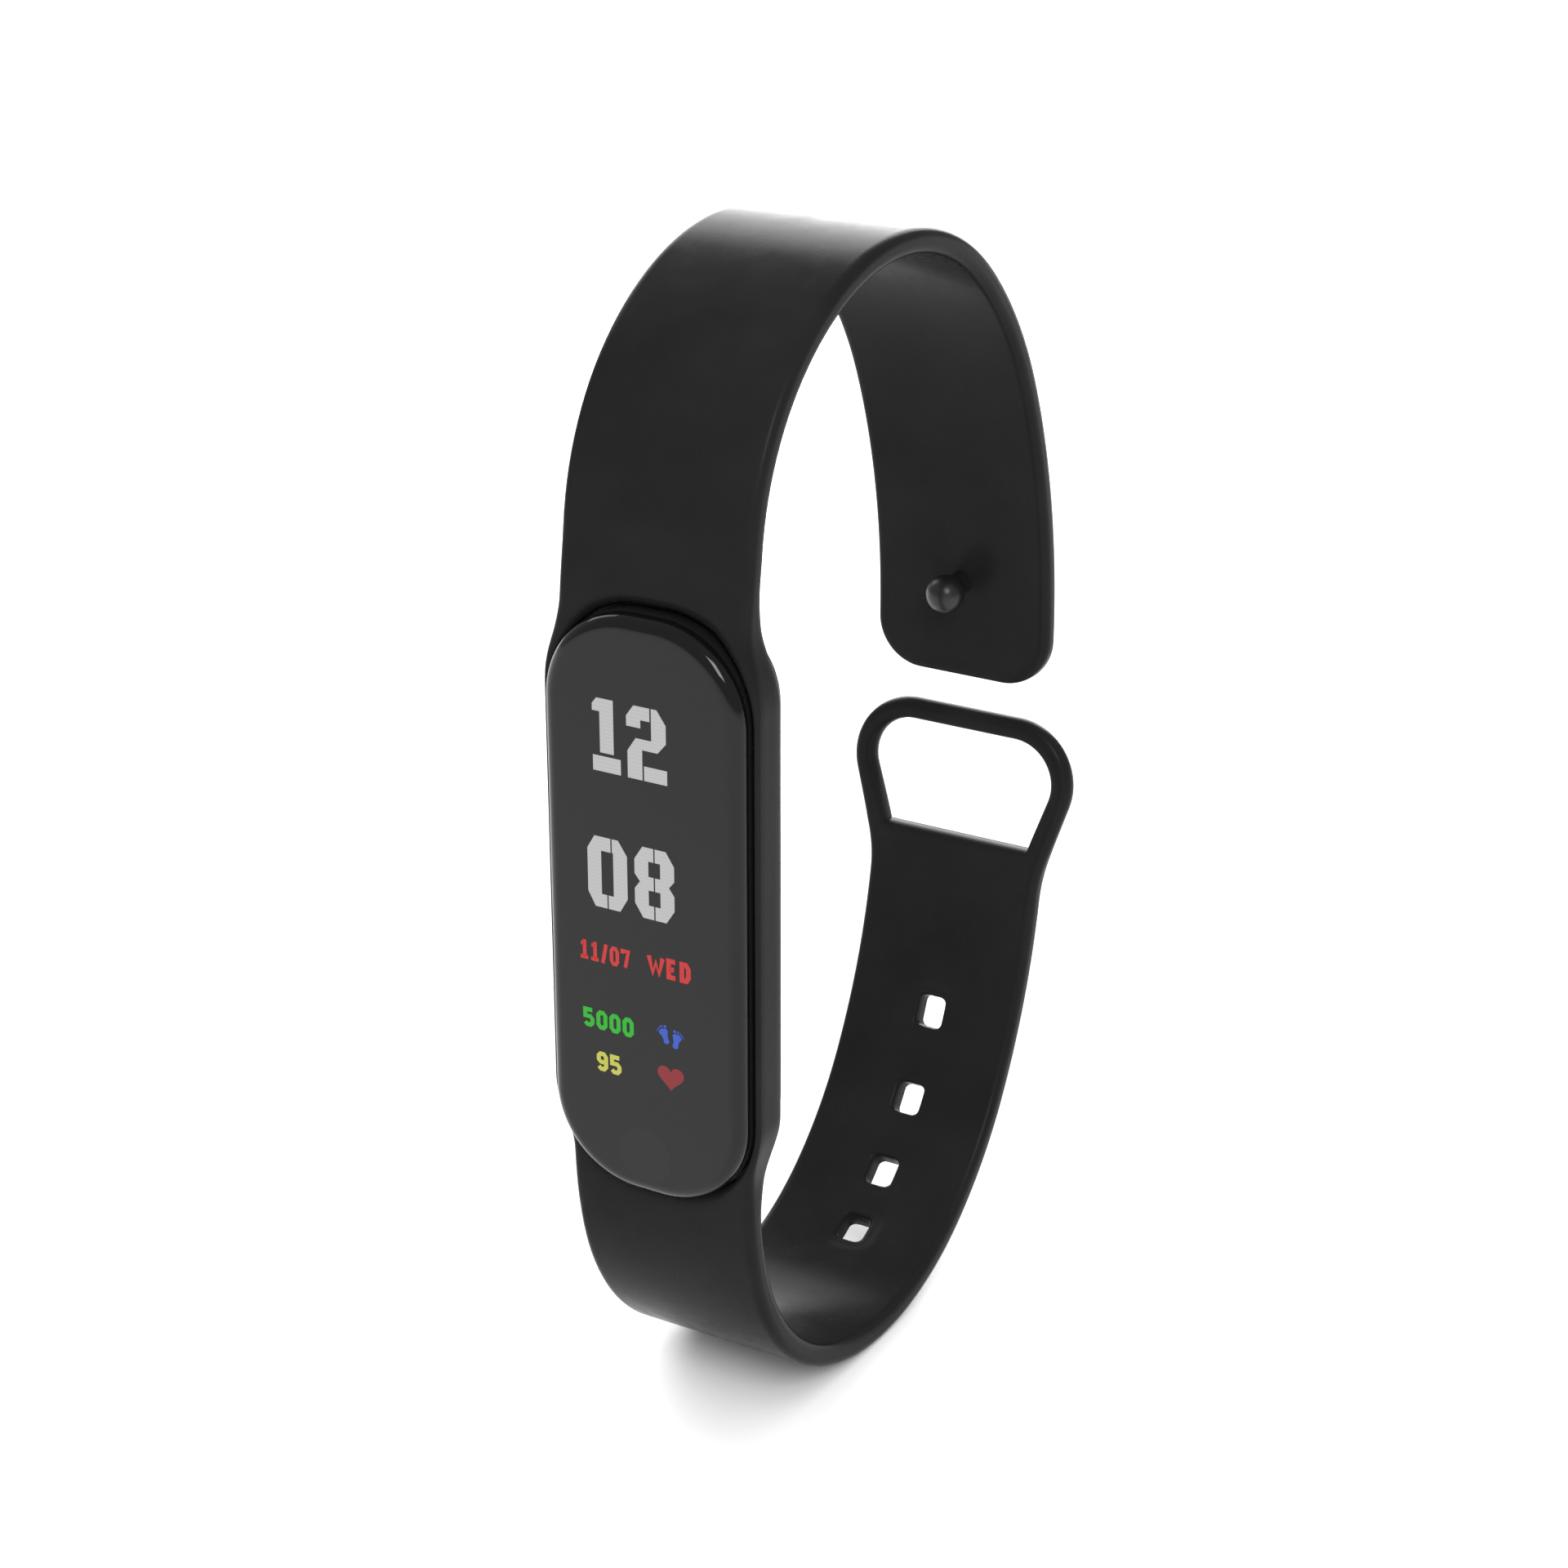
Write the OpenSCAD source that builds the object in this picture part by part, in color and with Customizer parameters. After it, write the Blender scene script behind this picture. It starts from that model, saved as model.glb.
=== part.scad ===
// Fitness tracker band: a moulded silicone wristband in two flexing halves, with a
// press-in tracker pod at the front, a keeper loop and a stud at the back.
// Axes: X across the band, -Y out of the screen, +Z up. Z = 0 is the lowest point.
// Units: millimetres.

/* [Strap] */
// width of the flat strap
strap_w = 16.5; // [14:0.1:22]
// thickness of the strap
strap_t = 2.0; // [1.6:0.1:3]
// rounding of the strap's long edges
strap_edge = 0.7; // [0.3:0.1:0.9]
// bend radii of the upper half, from the tracker to the tail tip
upper_radii = [81.8, 20.7, 23.0, 33.2, 56.4];
// how far each of those bends turns, in degrees
upper_turns = [15.2, 37.9, 85.7, 24.1, 29.4];
// bend radii of the lower half, from the tracker to the keeper loop
lower_radii = [22.3, 20.7, 23.1, 30.2, 48.5];
// how far each of those bends turns, in degrees
lower_turns = [39.6, 35.5, 58.9, 21.7, 26.7];
// corner radius of the tail tip
tail_corner = 4.3; // [1:0.1:8]

/* [Closure] */
// where each adjustment hole lies, measured along the lower half
hole_at = [47.1, 53.6, 61.0, 69.3];
// width of the adjustment holes, across the strap
hole_w = 2.5; // [2.2:0.1:4.5]
// length of the adjustment holes, along the strap
hole_l = 2.9; // [2.2:0.1:4.5]
// corner radius of the adjustment holes
hole_corner = 0.6; // [0.2:0.1:1.1]
// radius of the shallow dish around each hole on the skin side
dish_r = 2.7; // [2.4:0.1:5]
// depth of that dish
dish_depth = 0.25; // [0.1:0.05:0.6]
// radius of the stud's round head
stud_head_r = 1.65; // [1.2:0.05:2.2]
// radius of the stud's stem
stud_stem_r = 1.0; // [0.7:0.05:1.4]
// distance of the stud from the tail tip, along the strap
stud_from_tip = 8.9; // [5:0.1:15]
// distance from the strap's skin side to the middle of the stud's head
stud_reach = 2.9; // [2.2:0.1:4]
// radius of the keeper loop's round bar
loop_bar_r = 0.95; // [0.8:0.05:1.6]
// height of the keeper loop above the end of the strap
loop_rise = 12.2; // [9:0.1:18]
// half the distance between the loop's legs where they leave the strap
loop_foot = 7.6; // [6:0.1:9]
// bend radius of the loop's two upper corners
loop_corner = 4.7; // [3:0.1:6]
// outward lean of the loop's legs, in degrees
loop_splay = 17; // [0:0.1:20]

/* [Tracker] */
// width of the tracker's face
pod_w = 17.3; // [15:0.1:22]
// length of the tracker's face
pod_l = 47.4; // [40:0.1:52]
// corner radius of the face
pod_corner = 7.5; // [4:0.1:8.6]
// height of the tracker's middle above the lowest point
pod_z = 46.7; // [40:0.1:52]
// thickness of the cover glass
glass_t = 1.2; // [0.7:0.1:1.8]
// rounding of the glass's front edge
glass_edge = 1.0; // [0.3:0.1:1.1]
// depth of the case's full-width rim, from the face
rim_depth = 2.9; // [2.2:0.1:4]
// how much narrower the case is behind its rim, on each side
case_step = 0.8; // [0.4:0.1:1.5]
// depth of the case's back, from the face
case_depth = 9.0; // [8:0.1:12]
// wall thickness of the case
case_wall = 0.95; // [0.7:0.05:1.5]
// rounding of the case's back edge
case_edge = 2.5; // [1:0.1:3]
// side of the square sensor window in the back
lens_side = 9.6; // [7:0.1:11]

/* [Collar] */
// width of the collar that holds the tracker
collar_w = 18.8; // [17:0.1:24]
// gap around the tracker's rim
collar_gap = 0.25; // [0.15:0.05:0.5]
// distance that the tracker's face stands proud of the collar
face_proud = 1.4; // [0.5:0.1:2.5]
// depth of the collar from front to back
collar_d = 3.6; // [3:0.1:6]
// length over which the collar has its full width
collar_full = 33.6; // [28:0.1:40]
// length over which the collar is wider than the strap
collar_l = 46.4; // [40:0.1:52]

/* [Display] */
// width of the display panel
screen_w = 13.2; // [10:0.1:15]
// length of the display panel
screen_l = 31.5; // [20:0.1:36]
// distance of the display's middle above the tracker's middle
screen_up = 2.1; // [-4:0.1:5]

/* [Flex lines] */
// where the upper half starts to flex, measured along it
upper_flex = 20.5; // [18:0.1:26]
// where the lower half starts to flex, measured along it
lower_flex = 5.1; // [4:0.1:10]
// radius of the bead that a half turns on
flex_r = 1.08; // [1:0.01:1.4]
// clearance between the collar and that bead
flex_gap = 0.12; // [0.06:0.01:0.4]

/* [Hidden] */
$fn = 64;
face_y = -26.83;                   // front of the cover glass
collar_y = face_y + face_proud;    // front of the collar
front_y = -24.53;                  // strap's outer face where both halves start
upper_start = [front_y, 54.73];    // where the upper half leaves the collar
lower_start = [front_y, 24.45];    // where the lower half leaves the collar
start_lean = 7;                    // both halves lean out by this as they leave
cav_w = pod_w - 2 * case_step - 2 * case_wall;
cav_l = pod_l - 2 * case_step - 2 * case_wall;
cav_corner = pod_corner - case_step - case_wall;
cav_floor = case_depth - case_wall;
motor_z = 15;                      // motor's middle, above the tracker's middle
motor_r = 4;                       // outside radius of the motor can
motor_d = 5.2;                     // depth of the motor's front
motor_h = 2.8;                     // height of the motor can
contact_z = -15;                   // charging contacts, below the middle
col_silicone = [0.14, 0.14, 0.14];
col_glass = [0.10, 0.10, 0.11];
col_case = [0.16, 0.16, 0.17];
col_board = [0.05, 0.30, 0.16];
col_chip = [0.09, 0.09, 0.10];
col_steel = [0.72, 0.73, 0.75];
col_gold = [0.83, 0.68, 0.32];
col_foil = [0.62, 0.64, 0.67];
col_flex = [0.72, 0.42, 0.12];
col_foam = [0.22, 0.22, 0.24];

// ---- the strap's path: a chain of tangent arcs in the YZ plane ----

// the point and heading after each arc; turn is 1 anticlockwise, -1 clockwise
function walk(p, h, radii, turns, turn, i = 0) =
  i == len(radii) ? [[p[0], p[1], h]] :
  let (c = p + radii[i] * turn * [-sin(h), cos(h)], g = h + turn * turns[i])
  concat([[p[0], p[1], h]],
    walk(c - radii[i] * turn * [-sin(g), cos(g)], g, radii, turns, turn, i + 1));

// the length of arc i
function arc_len(radii, turns, i) = radii[i] * turns[i] * PI / 180;

// the point and heading at a distance s along a chain
function along(s, p, h, radii, turns, turn, i = 0) =
  let (l = arc_len(radii, turns, i))
  s <= l || i == len(radii) - 1 ?
    let (g = h + turn * s / radii[i] * 180 / PI,
         c = p + radii[i] * turn * [-sin(h), cos(h)],
         q = c - radii[i] * turn * [-sin(g), cos(g)]) [q[0], q[1], g] :
    let (c = p + radii[i] * turn * [-sin(h), cos(h)], g = h + turn * turns[i])
    along(s - l, c - radii[i] * turn * [-sin(g), cos(g)], g, radii, turns, turn, i + 1);

function total(radii, turns, i = 0) =
  i == len(radii) ? 0 : arc_len(radii, turns, i) + total(radii, turns, i + 1);

function upper(s) = along(s, upper_start, 90 + start_lean, upper_radii, upper_turns, -1);
function lower(s) = along(s, lower_start, -90 - start_lean, lower_radii, lower_turns, 1);
upper_len = total(upper_radii, upper_turns);
lower_len = total(lower_radii, lower_turns);

// puts its children at a [y, z, heading]: local Y runs along the strap, and local Z
// points out of the band on the upper half and into it on the lower half
module at_station(q) { translate([0, q[0], q[1]]) rotate([q[2], 0, 0]) children(); }

// a rectangle centred on the origin with four round corners
module round_rect(w, h, r) {
  square([w - 2 * r, h], center = true);
  square([w, h - 2 * r], center = true);
  for (x = [-1, 1], y = [-1, 1]) translate([x * (w / 2 - r), y * (h / 2 - r)]) circle(r);
}

// one bend of the strap, from the angle a, sweeping turn_by about the X axis
module bend(centre, radius, a, turn_by, slim)
  translate([0, centre[0], centre[1]]) rotate([90, 0, 90])
    rotate([0, 0, a]) rotate_extrude(angle = turn_by) translate([radius - strap_t / 2, 0])
      round_rect(strap_t - 2 * slim, strap_w - 2 * slim, strap_edge);

// the part of a half between s0 and s1, measured along its outer face. Every second
// bend is a hundredth slimmer and runs a little way into its neighbours.
module half_strap(start, h0, radii, turns, turn, s0, s1) {
  pts = walk(start, h0, radii, turns, turn);
  function before(i) = i == 0 ? 0 : arc_len(radii, turns, i - 1) + before(i - 1);
  for (i = [0 : len(radii) - 1]) {
    b = before(i);
    l = arc_len(radii, turns, i);
    run_in = i % 2 == 1 ? 0.3 : 0;
    lo = max(s0 - b, 0) - (s0 < b ? run_in : 0);
    hi = min(s1 - b, l) + (s1 > b + l ? run_in : 0);
    if (hi > lo && s1 > b && s0 < b + l) {
      h = pts[i][2];
      c = [pts[i][0], pts[i][1]] + radii[i] * turn * [-sin(h), cos(h)];
      a0 = lo / radii[i] * 180 / PI;
      a1 = hi / radii[i] * 180 / PI;
      bend(c, radii[i], turn > 0 ? h - 90 + a0 : h + 90 - a1, a1 - a0, run_in / 30);
    }
  }
}

module upper_half(s0, s1)
  half_strap(upper_start, 90 + start_lean, upper_radii, upper_turns, -1, s0, s1);
module lower_half(s0, s1)
  half_strap(lower_start, -90 - start_lean, lower_radii, lower_turns, 1, s0, s1);

// the bead that a half turns on at its flex line
module flex_end() rotate([0, 90, 0])
  cylinder(r = flex_r, h = strap_w - 2 * strap_edge, center = true);

// removes the square corners of a strap end; local Y = 0 is where the corners start
module corner_cutter() for (x = [-1, 1])
  difference() {
    translate([x > 0 ? strap_w / 2 - tail_corner : -strap_w / 2 - 1, 0, -4])
      cube([tail_corner + 1, tail_corner + 2, 6]);
    translate([x * (strap_w / 2 - tail_corner), 0, -5]) cylinder(r = tail_corner, h = 8);
  }

// ---- the tracker's layers ----

// a flat layer whose front is d behind the face and whose thickness is t
module layer(d, t)
  translate([0, face_y + d + t, pod_z]) rotate([90, 0, 0]) linear_extrude(t) children();

// the tracker's outline, moved in by inset
module outline(inset) round_rect(pod_w - 2 * inset, pod_l - 2 * inset, pod_corner - inset);

// half of the cross-section of a slab with one rounded edge
module edge_section(reach, h, r) {
  square([reach - r, h]);
  square([reach, h - r]);
  translate([reach - r, h - r]) intersection() { circle(r); square(r); }
}

// a slab w by l by h, with corners of radius rc and its top edge rounded by r
module soft_slab(w, l, h, rc, r) {
  for (x = [-1, 1], y = [-1, 1]) translate([x * (w / 2 - rc), y * (l / 2 - rc), 0])
    rotate_extrude() edge_section(rc, h, r);
  for (a = [0, 1]) rotate([90, 0, a * 90]) {
    reach = a == 0 ? w / 2 : l / 2;
    run = (a == 0 ? l : w) - 2 * rc;
    translate([0, 0, -run / 2]) linear_extrude(run) {
      edge_section(reach, h, r);
      mirror([1, 0]) edge_section(reach, h, r);
    }
  }
}

// the same slab lying in the tracker, with its rounded edge at depth d, facing back
module back_slab(w, l, d, h, rc, r)
  translate([0, face_y + d - h, pod_z]) rotate([-90, 0, 0]) soft_slab(w, l, h, rc, r);

// ---- the band ----

// half the collar's width at a distance dz from its middle
function collar_half(dz) =
  let (t = max(0, min(1, (collar_l / 2 - abs(dz)) / (collar_l / 2 - collar_full / 2))))
  strap_w / 2 + (collar_w - strap_w) / 2 * t * t * (3 - 2 * t);

module collar_outline() {
  n = 48;
  side = [for (i = [0 : n]) let (z = (i / n - 0.5) * collar_l) [collar_half(z), z]];
  polygon(concat(side, [for (i = [n : -1 : 0]) [-side[i][0], side[i][1]]]));
}

// the collar seen from the side: full depth in the middle, thinning to the strap
module collar_side() {
  h = collar_l / 2;
  f = collar_full / 2;
  polygon([[collar_y, -f - 2], [collar_y, f + 4], [collar_y + 0.3, h],
    [collar_y + 2.3, h], [collar_y + collar_d, f + 1],
    [collar_y + collar_d, -f - 1], [front_y + 1.9, -h], [front_y - 0.1, -h]]);
}

module strap_cradle() color(col_silicone) difference() {
  union() {
    upper_half(0, upper_flex - flex_r - flex_gap);
    lower_half(0, lower_flex - flex_r - flex_gap);
    translate([0, 0, pod_z + 0.5]) intersection() {
      translate([0, collar_y + 6, 0]) rotate([90, 0, 0]) linear_extrude(12) collar_outline();
      rotate([90, 0, 90]) translate([0, 0, -collar_w]) linear_extrude(2 * collar_w)
        collar_side();
    }
  }
  // the seat for the tracker's rim, and the opening for the case behind it
  layer(-3, rim_depth + 3.1) outline(-collar_gap);
  layer(0, 12) outline(case_step - collar_gap);
}

module upper_strap() color(col_silicone) difference() {
  union() {
    upper_half(upper_flex, upper_len);
    at_station(upper(upper_flex)) translate([0, 0, -strap_t / 2]) flex_end();
  }
  at_station(upper(upper_len - tail_corner)) corner_cutter();
  // the stud's hole and the seat for its flange
  at_station(upper(upper_len - stud_from_tip)) {
    translate([0, 0, -strap_t - 1]) cylinder(r = stud_stem_r + 0.02, h = strap_t + 2);
    translate([0, 0, -1.0]) cylinder(r = 2.62, h = 2);
  }
}

// the stud: a round head on a stem, held by a flange let into the outer face
module closure_stud() color(col_silicone)
  at_station(upper(upper_len - stud_from_tip)) {
    translate([0, 0, -strap_t - stud_reach]) sphere(r = stud_head_r);
    translate([0, 0, -strap_t - stud_reach]) cylinder(r = stud_stem_r, h = stud_reach + strap_t - 0.6);
    translate([0, 0, -0.98]) cylinder(r = 2.6, h = 0.5);
  }

module stud_cap() color(col_silicone)
  at_station(upper(upper_len - stud_from_tip)) translate([0, 0, -0.46])
    cylinder(r = 2.6, h = 0.4);

// the keeper loop's round bar, in a plane whose Y runs along the strap
module keeper_loop() {
  dir = [sin(loop_splay), cos(loop_splay)];
  // the middle of the corner bend, tangent to the leg and to the top bar
  cx = loop_foot - (loop_corner - (loop_rise - loop_corner) * dir[0]) / dir[1];
  cy = loop_rise - loop_corner;
  leg = (cx - loop_foot) * dir[0] + cy * dir[1];
  for (m = [0, 1]) mirror([m, 0, 0]) {
    translate([cx, cy, 0]) rotate([0, 0, -loop_splay]) translate([loop_corner, 0, 0])
      rotate([90, 0, 0]) cylinder(r = loop_bar_r, h = leg + 1.2);
    translate([cx, cy, 0]) rotate([0, 0, -loop_splay])
      rotate_extrude(angle = 90 + loop_splay) translate([loop_corner, 0]) circle(loop_bar_r);
  }
  translate([-cx, loop_rise, 0]) rotate([0, 90, 0]) cylinder(r = loop_bar_r, h = 2 * cx);
}

module lower_strap() color(col_silicone) difference() {
  union() {
    lower_half(lower_flex, lower_len);
    at_station(lower(lower_flex)) translate([0, 0, strap_t / 2]) flex_end();
    at_station(lower(lower_len - 1.5)) rotate([-0.4, 0, 0])
      translate([0, 0, strap_t / 2]) keeper_loop();
  }
  for (s = hole_at) at_station(lower(s)) {
    translate([0, 0, -2]) linear_extrude(strap_t + 4) round_rect(hole_w, hole_l, hole_corner);
    translate([0, 0, strap_t - dish_depth]) cylinder(r1 = dish_r - 2 * dish_depth,
      r2 = dish_r + 2 * (0.9 - dish_depth), h = 0.9);
  }
}

// ---- the tracker ----

module cover_glass() color(col_glass)
  translate([0, face_y + glass_t, pod_z]) rotate([90, 0, 0])
    soft_slab(pod_w, pod_l, glass_t, pod_corner, glass_edge);

module glass_seal() color(col_foam) layer(glass_t + 0.02, 0.14)
  difference() { outline(0.35); outline(1.25); }

module touch_panel() color(col_glass) layer(glass_t + 0.02, 0.16) outline(1.35);

module display_panel() color(col_chip) layer(glass_t + 0.2, 0.9)
  translate([0, screen_up]) round_rect(screen_w, screen_l, 1.2);

module display_pad() color(col_foam) layer(glass_t + 1.12, 0.16)
  translate([0, screen_up]) round_rect(screen_w - 0.6, screen_l - 0.6, 1.0);

// the display's ribbon: out of the panel's lower end, round behind it, and through
// the carrier's upper window to the main board
module display_flex() color(col_flex) {
  low = screen_up - screen_l / 2 - 4;
  layer(glass_t + 0.4, 0.1) translate([-1.8, low]) square([3.6, 3.95]);
  layer(glass_t + 0.4, 1.0) translate([-1.8, low]) square([3.6, 0.15]);
  layer(glass_t + 1.3, 0.1) translate([-1.8, low]) square([3.6, 8.1 - low]);
  layer(glass_t + 1.3, 0.88) translate([-1.8, 8]) square([3.6, 0.12]);
}

// the carrier: a plate with a rim, which the glass stack and the boards sit on
module inner_frame() color(col_case) {
  layer(2.7, 0.5) difference() {
    outline(case_step + case_wall + 0.1);
    translate([0, -7]) round_rect(10.4, 19, 1);
    translate([0, 12.4]) round_rect(7, 11, 1);
  }
  layer(1.5, 1.2) difference() {
    outline(case_step + case_wall + 0.1);
    outline(case_step + case_wall + 0.2);
  }
}

module tracker_case() color(col_case) difference() {
  union() {
    layer(glass_t + 0.16 + 0.02, rim_depth - glass_t - 0.18) outline(0);
    back_slab(pod_w - 2 * case_step, pod_l - 2 * case_step, case_depth,
      case_depth - glass_t - 0.3, pod_corner - case_step, case_edge);
  }
  back_slab(cav_w, cav_l, cav_floor, cav_floor - 0.2, cav_corner, case_edge - case_wall);
  // the sensor window and the two contact holes
  layer(cav_floor - 1, 3) round_rect(lens_side, lens_side, 1.5);
  layer(cav_floor - 1, 3) for (x = [-1, 1]) translate([x * 2.6, contact_z]) circle(1.05);
}

module main_board() color(col_board) layer(3.4, 0.6) intersection() {
  outline(case_step + case_wall + 0.3);
  translate([-8, 5.2]) square([16, 20]);
}

module processor() color(col_chip) layer(4.02, 0.75) translate([-2.6, 9.5])
  square([4.2, 4.2], center = true);
module memory_chip() color(col_chip) layer(4.02, 0.6) translate([1.6, 9.9])
  square([2.6, 3.2], center = true);
module radio_chip() color(col_chip) layer(4.02, 0.6) translate([-1.2, 14.6])
  square([3.0, 3.0], center = true);

module shield_can() color(col_steel) difference() {
  layer(4.02, 1.1) translate([-0.8, 11.7]) round_rect(8.6, 9.6, 0.5);
  layer(3.9, 1.02) translate([-0.8, 11.7]) round_rect(8.2, 9.2, 0.3);
}

module motion_sensor() color(col_chip) layer(4.02, 0.7) translate([5.0, 13.0])
  square([2, 2], center = true);
module antenna_chip() color([0.85, 0.86, 0.82]) layer(4.02, 0.8) translate([0, 19.6])
  square([5.2, 1.4], center = true);

module battery_pad() color(col_foam) layer(3.22, 0.22) translate([0, -7.2]) square([9.6, 17], center = true);
module battery_cell() color(col_foil)
  layer(3.46, 3.0) translate([0, -7.3]) round_rect(12.2, 22.2, 1.0);
module battery_board() color(col_board) layer(3.9, 2.2) translate([-4.5, 3.9]) square([9, 0.6]);

// the ribbon from the sensor board forward to the main board
module sensor_flex() color(col_flex) {
  layer(4.02, 2.8) translate([-6.1, 5.4]) square([1.0, 0.12]);
  layer(4.02, 0.1) translate([-6.1, 5.4]) square([1.0, 2.4]);
  layer(6.72, 0.1) translate([-6.1, 4.6]) square([1.0, 0.92]);
}

module sensor_board() color(col_board) layer(6.84, 0.4) round_rect(10.4, 10.4, 0.8);
module green_leds() color([0.55, 0.85, 0.45]) for (y = [-1, 1])
  layer(7.26, 0.6) translate([0, y * 3.1]) square([1.8, 1.4], center = true);
module photodiode() color([0.16, 0.18, 0.24]) layer(7.26, 0.6) square([2.6, 2.6], center = true);

module light_barrier() color(col_case) layer(7.26, 0.76) difference() {
  round_rect(10.0, 10.0, 0.8);
  square([3.0, 3.0], center = true);
  for (y = [-1, 1]) translate([0, y * 3.1]) square([2.2, 1.8], center = true);
}

// the clear window over the optical sensor: a raised, softly rounded pad
module sensor_lens() color(col_glass)
  back_slab(lens_side - 0.1, lens_side - 0.1, case_depth + 0.6, 1.5, 1.45, 0.6);

module charge_contacts() color(col_gold) for (x = [-1, 1]) layer(7.6, 1.4)
  translate([x * 2.6, contact_z]) circle(1.0);
module contact_board() color(col_board) layer(7.1, 0.45) translate([0, contact_z])
  round_rect(8, 3, 0.5);

// ---- the vibration motor: a coin can with an off-centre weight inside ----

module motor_can() color(col_steel) difference() {
  layer(motor_d, motor_h - 0.3) translate([0, motor_z]) circle(motor_r);
  layer(motor_d + 0.25, motor_h) translate([0, motor_z]) circle(motor_r - 0.25);
}
module motor_base() color(col_board)
  layer(motor_d + motor_h - 0.28, 0.25) translate([0, motor_z]) difference() {
    circle(motor_r);
    circle(0.45);
  }
module motor_shaft() color(col_steel)
  layer(motor_d + 0.4, motor_h - 0.5) translate([0, motor_z]) circle(0.4);
module motor_weight() color(col_gold)
  layer(motor_d + 0.6, 1.2) translate([0, motor_z]) difference() {
    union() {
      circle(1.1);
      intersection() { circle(motor_r - 0.7); translate([-4, -4]) square([8, 4]); }
    }
    circle(0.42);
  }

strap_cradle();
upper_strap();
closure_stud();
stud_cap();
lower_strap();
cover_glass();
glass_seal();
touch_panel();
display_panel();
display_pad();
display_flex();
inner_frame();
tracker_case();
main_board();
processor();
memory_chip();
radio_chip();
shield_can();
motion_sensor();
antenna_chip();
battery_pad();
battery_cell();
battery_board();
sensor_flex();
sensor_board();
green_leds();
photodiode();
light_barrier();
sensor_lens();
charge_contacts();
contact_board();
motor_can();
motor_base();
motor_shaft();
motor_weight();
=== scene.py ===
"""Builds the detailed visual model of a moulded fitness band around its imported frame."""

import math

import bmesh
import bpy
import numpy as np
from bpy.props import FloatProperty, FloatVectorProperty, PointerProperty
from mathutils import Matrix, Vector


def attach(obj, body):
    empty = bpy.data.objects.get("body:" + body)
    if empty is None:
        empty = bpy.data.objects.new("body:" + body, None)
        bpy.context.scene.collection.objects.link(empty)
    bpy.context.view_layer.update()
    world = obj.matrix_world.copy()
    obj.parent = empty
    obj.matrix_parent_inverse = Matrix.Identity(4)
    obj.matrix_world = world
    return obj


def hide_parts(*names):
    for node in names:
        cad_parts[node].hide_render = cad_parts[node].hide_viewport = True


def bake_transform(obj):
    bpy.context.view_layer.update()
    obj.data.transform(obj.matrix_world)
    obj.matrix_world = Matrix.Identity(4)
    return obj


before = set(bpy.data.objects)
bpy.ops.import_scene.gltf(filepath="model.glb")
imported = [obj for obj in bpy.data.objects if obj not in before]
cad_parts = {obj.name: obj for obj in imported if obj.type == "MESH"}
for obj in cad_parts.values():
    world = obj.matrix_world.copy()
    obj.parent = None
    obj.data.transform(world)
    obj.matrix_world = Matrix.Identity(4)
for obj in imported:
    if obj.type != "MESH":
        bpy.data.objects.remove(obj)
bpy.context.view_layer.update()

bl_info = {
    "name": "Fitness Band Builder",
    "version": (1, 0, 0),
    "blender": (4, 5, 0),
    "location": "View3D > Sidebar > Band",
    "description": "Moulds a silicone fitness band and its press-in tracker",
    "category": "Object",
}

MM = 0.001

# ---- the band's own dimensions, in millimetres ----
TRACKER_Z = 46.7        # the tracker's middle
COLLAR_Z = 47.2         # the collar's middle, where the two moulded halves meet
FACE_Y = -26.83         # front of the cover glass
COLLAR_Y = -25.43       # front of the collar
SEAT_Y = -23.83         # the ledge that the tracker's rim sits on
STRAP_HALF = 8.25       # half the strap's width
COLLAR_HALF = 9.4       # half the collar's width
STRAP_T, COLLAR_T = 2.0, 3.6            # thickness of the strap and of the collar
WIDE_TO, NARROW_FROM = 16.8, 23.2       # the collar's width eases between these distances
THICK_TO, THIN_FROM = 17.5, 26.5        # from its middle, and its thickness between these
SIDE_REACH = 30.0       # the halves are laid out by height as far as this from its middle,
GRID_FROM = 29.5        # and the strap's plain grid starts here
FRONT_Y = -24.53        # the strap's outer face where its bends start
UPPER = dict(start=(FRONT_Y, 54.73), heading=97.0, turn=-1,
             radii=(81.8, 20.7, 23.0, 33.2, 56.4), turns=(15.2, 37.9, 85.7, 24.1, 29.4))
LOWER = dict(start=(FRONT_Y, 24.45), heading=-97.0, turn=1,
             radii=(22.3, 20.7, 23.1, 30.2, 48.5), turns=(39.6, 35.5, 58.9, 21.7, 26.7))
UPPER_EASE, LOWER_EASE = (16.0, 28.0), (17.0, 30.0)     # the collar's front falls back here
BEND_STEP = 0.3         # between points along a bend
HOLES_AT = (47.1, 53.6, 61.0, 69.3)     # along the lower half's bends
HOLE_HALF_W, HOLE_HALF_L, HOLE_CORNER = 1.25, 1.45, 0.6
HOLE_BEFORE, HOLE_AFTER = 3.6, 4.2      # grid before the first hole and after the last
TIP_CORNER = 4.3
TAIL, TIP_ZONE = 20.0, 12.0             # the tip is the end of a long rounded bar
STUD_FROM_TIP = 8.9
SEAT_R, SEAT_DEPTH = 2.62, 0.56         # the seat of the stud's flange
STUD_HEAD, STUD_REACH, STUD_NECK = 1.65, 2.9, 1.0
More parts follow.
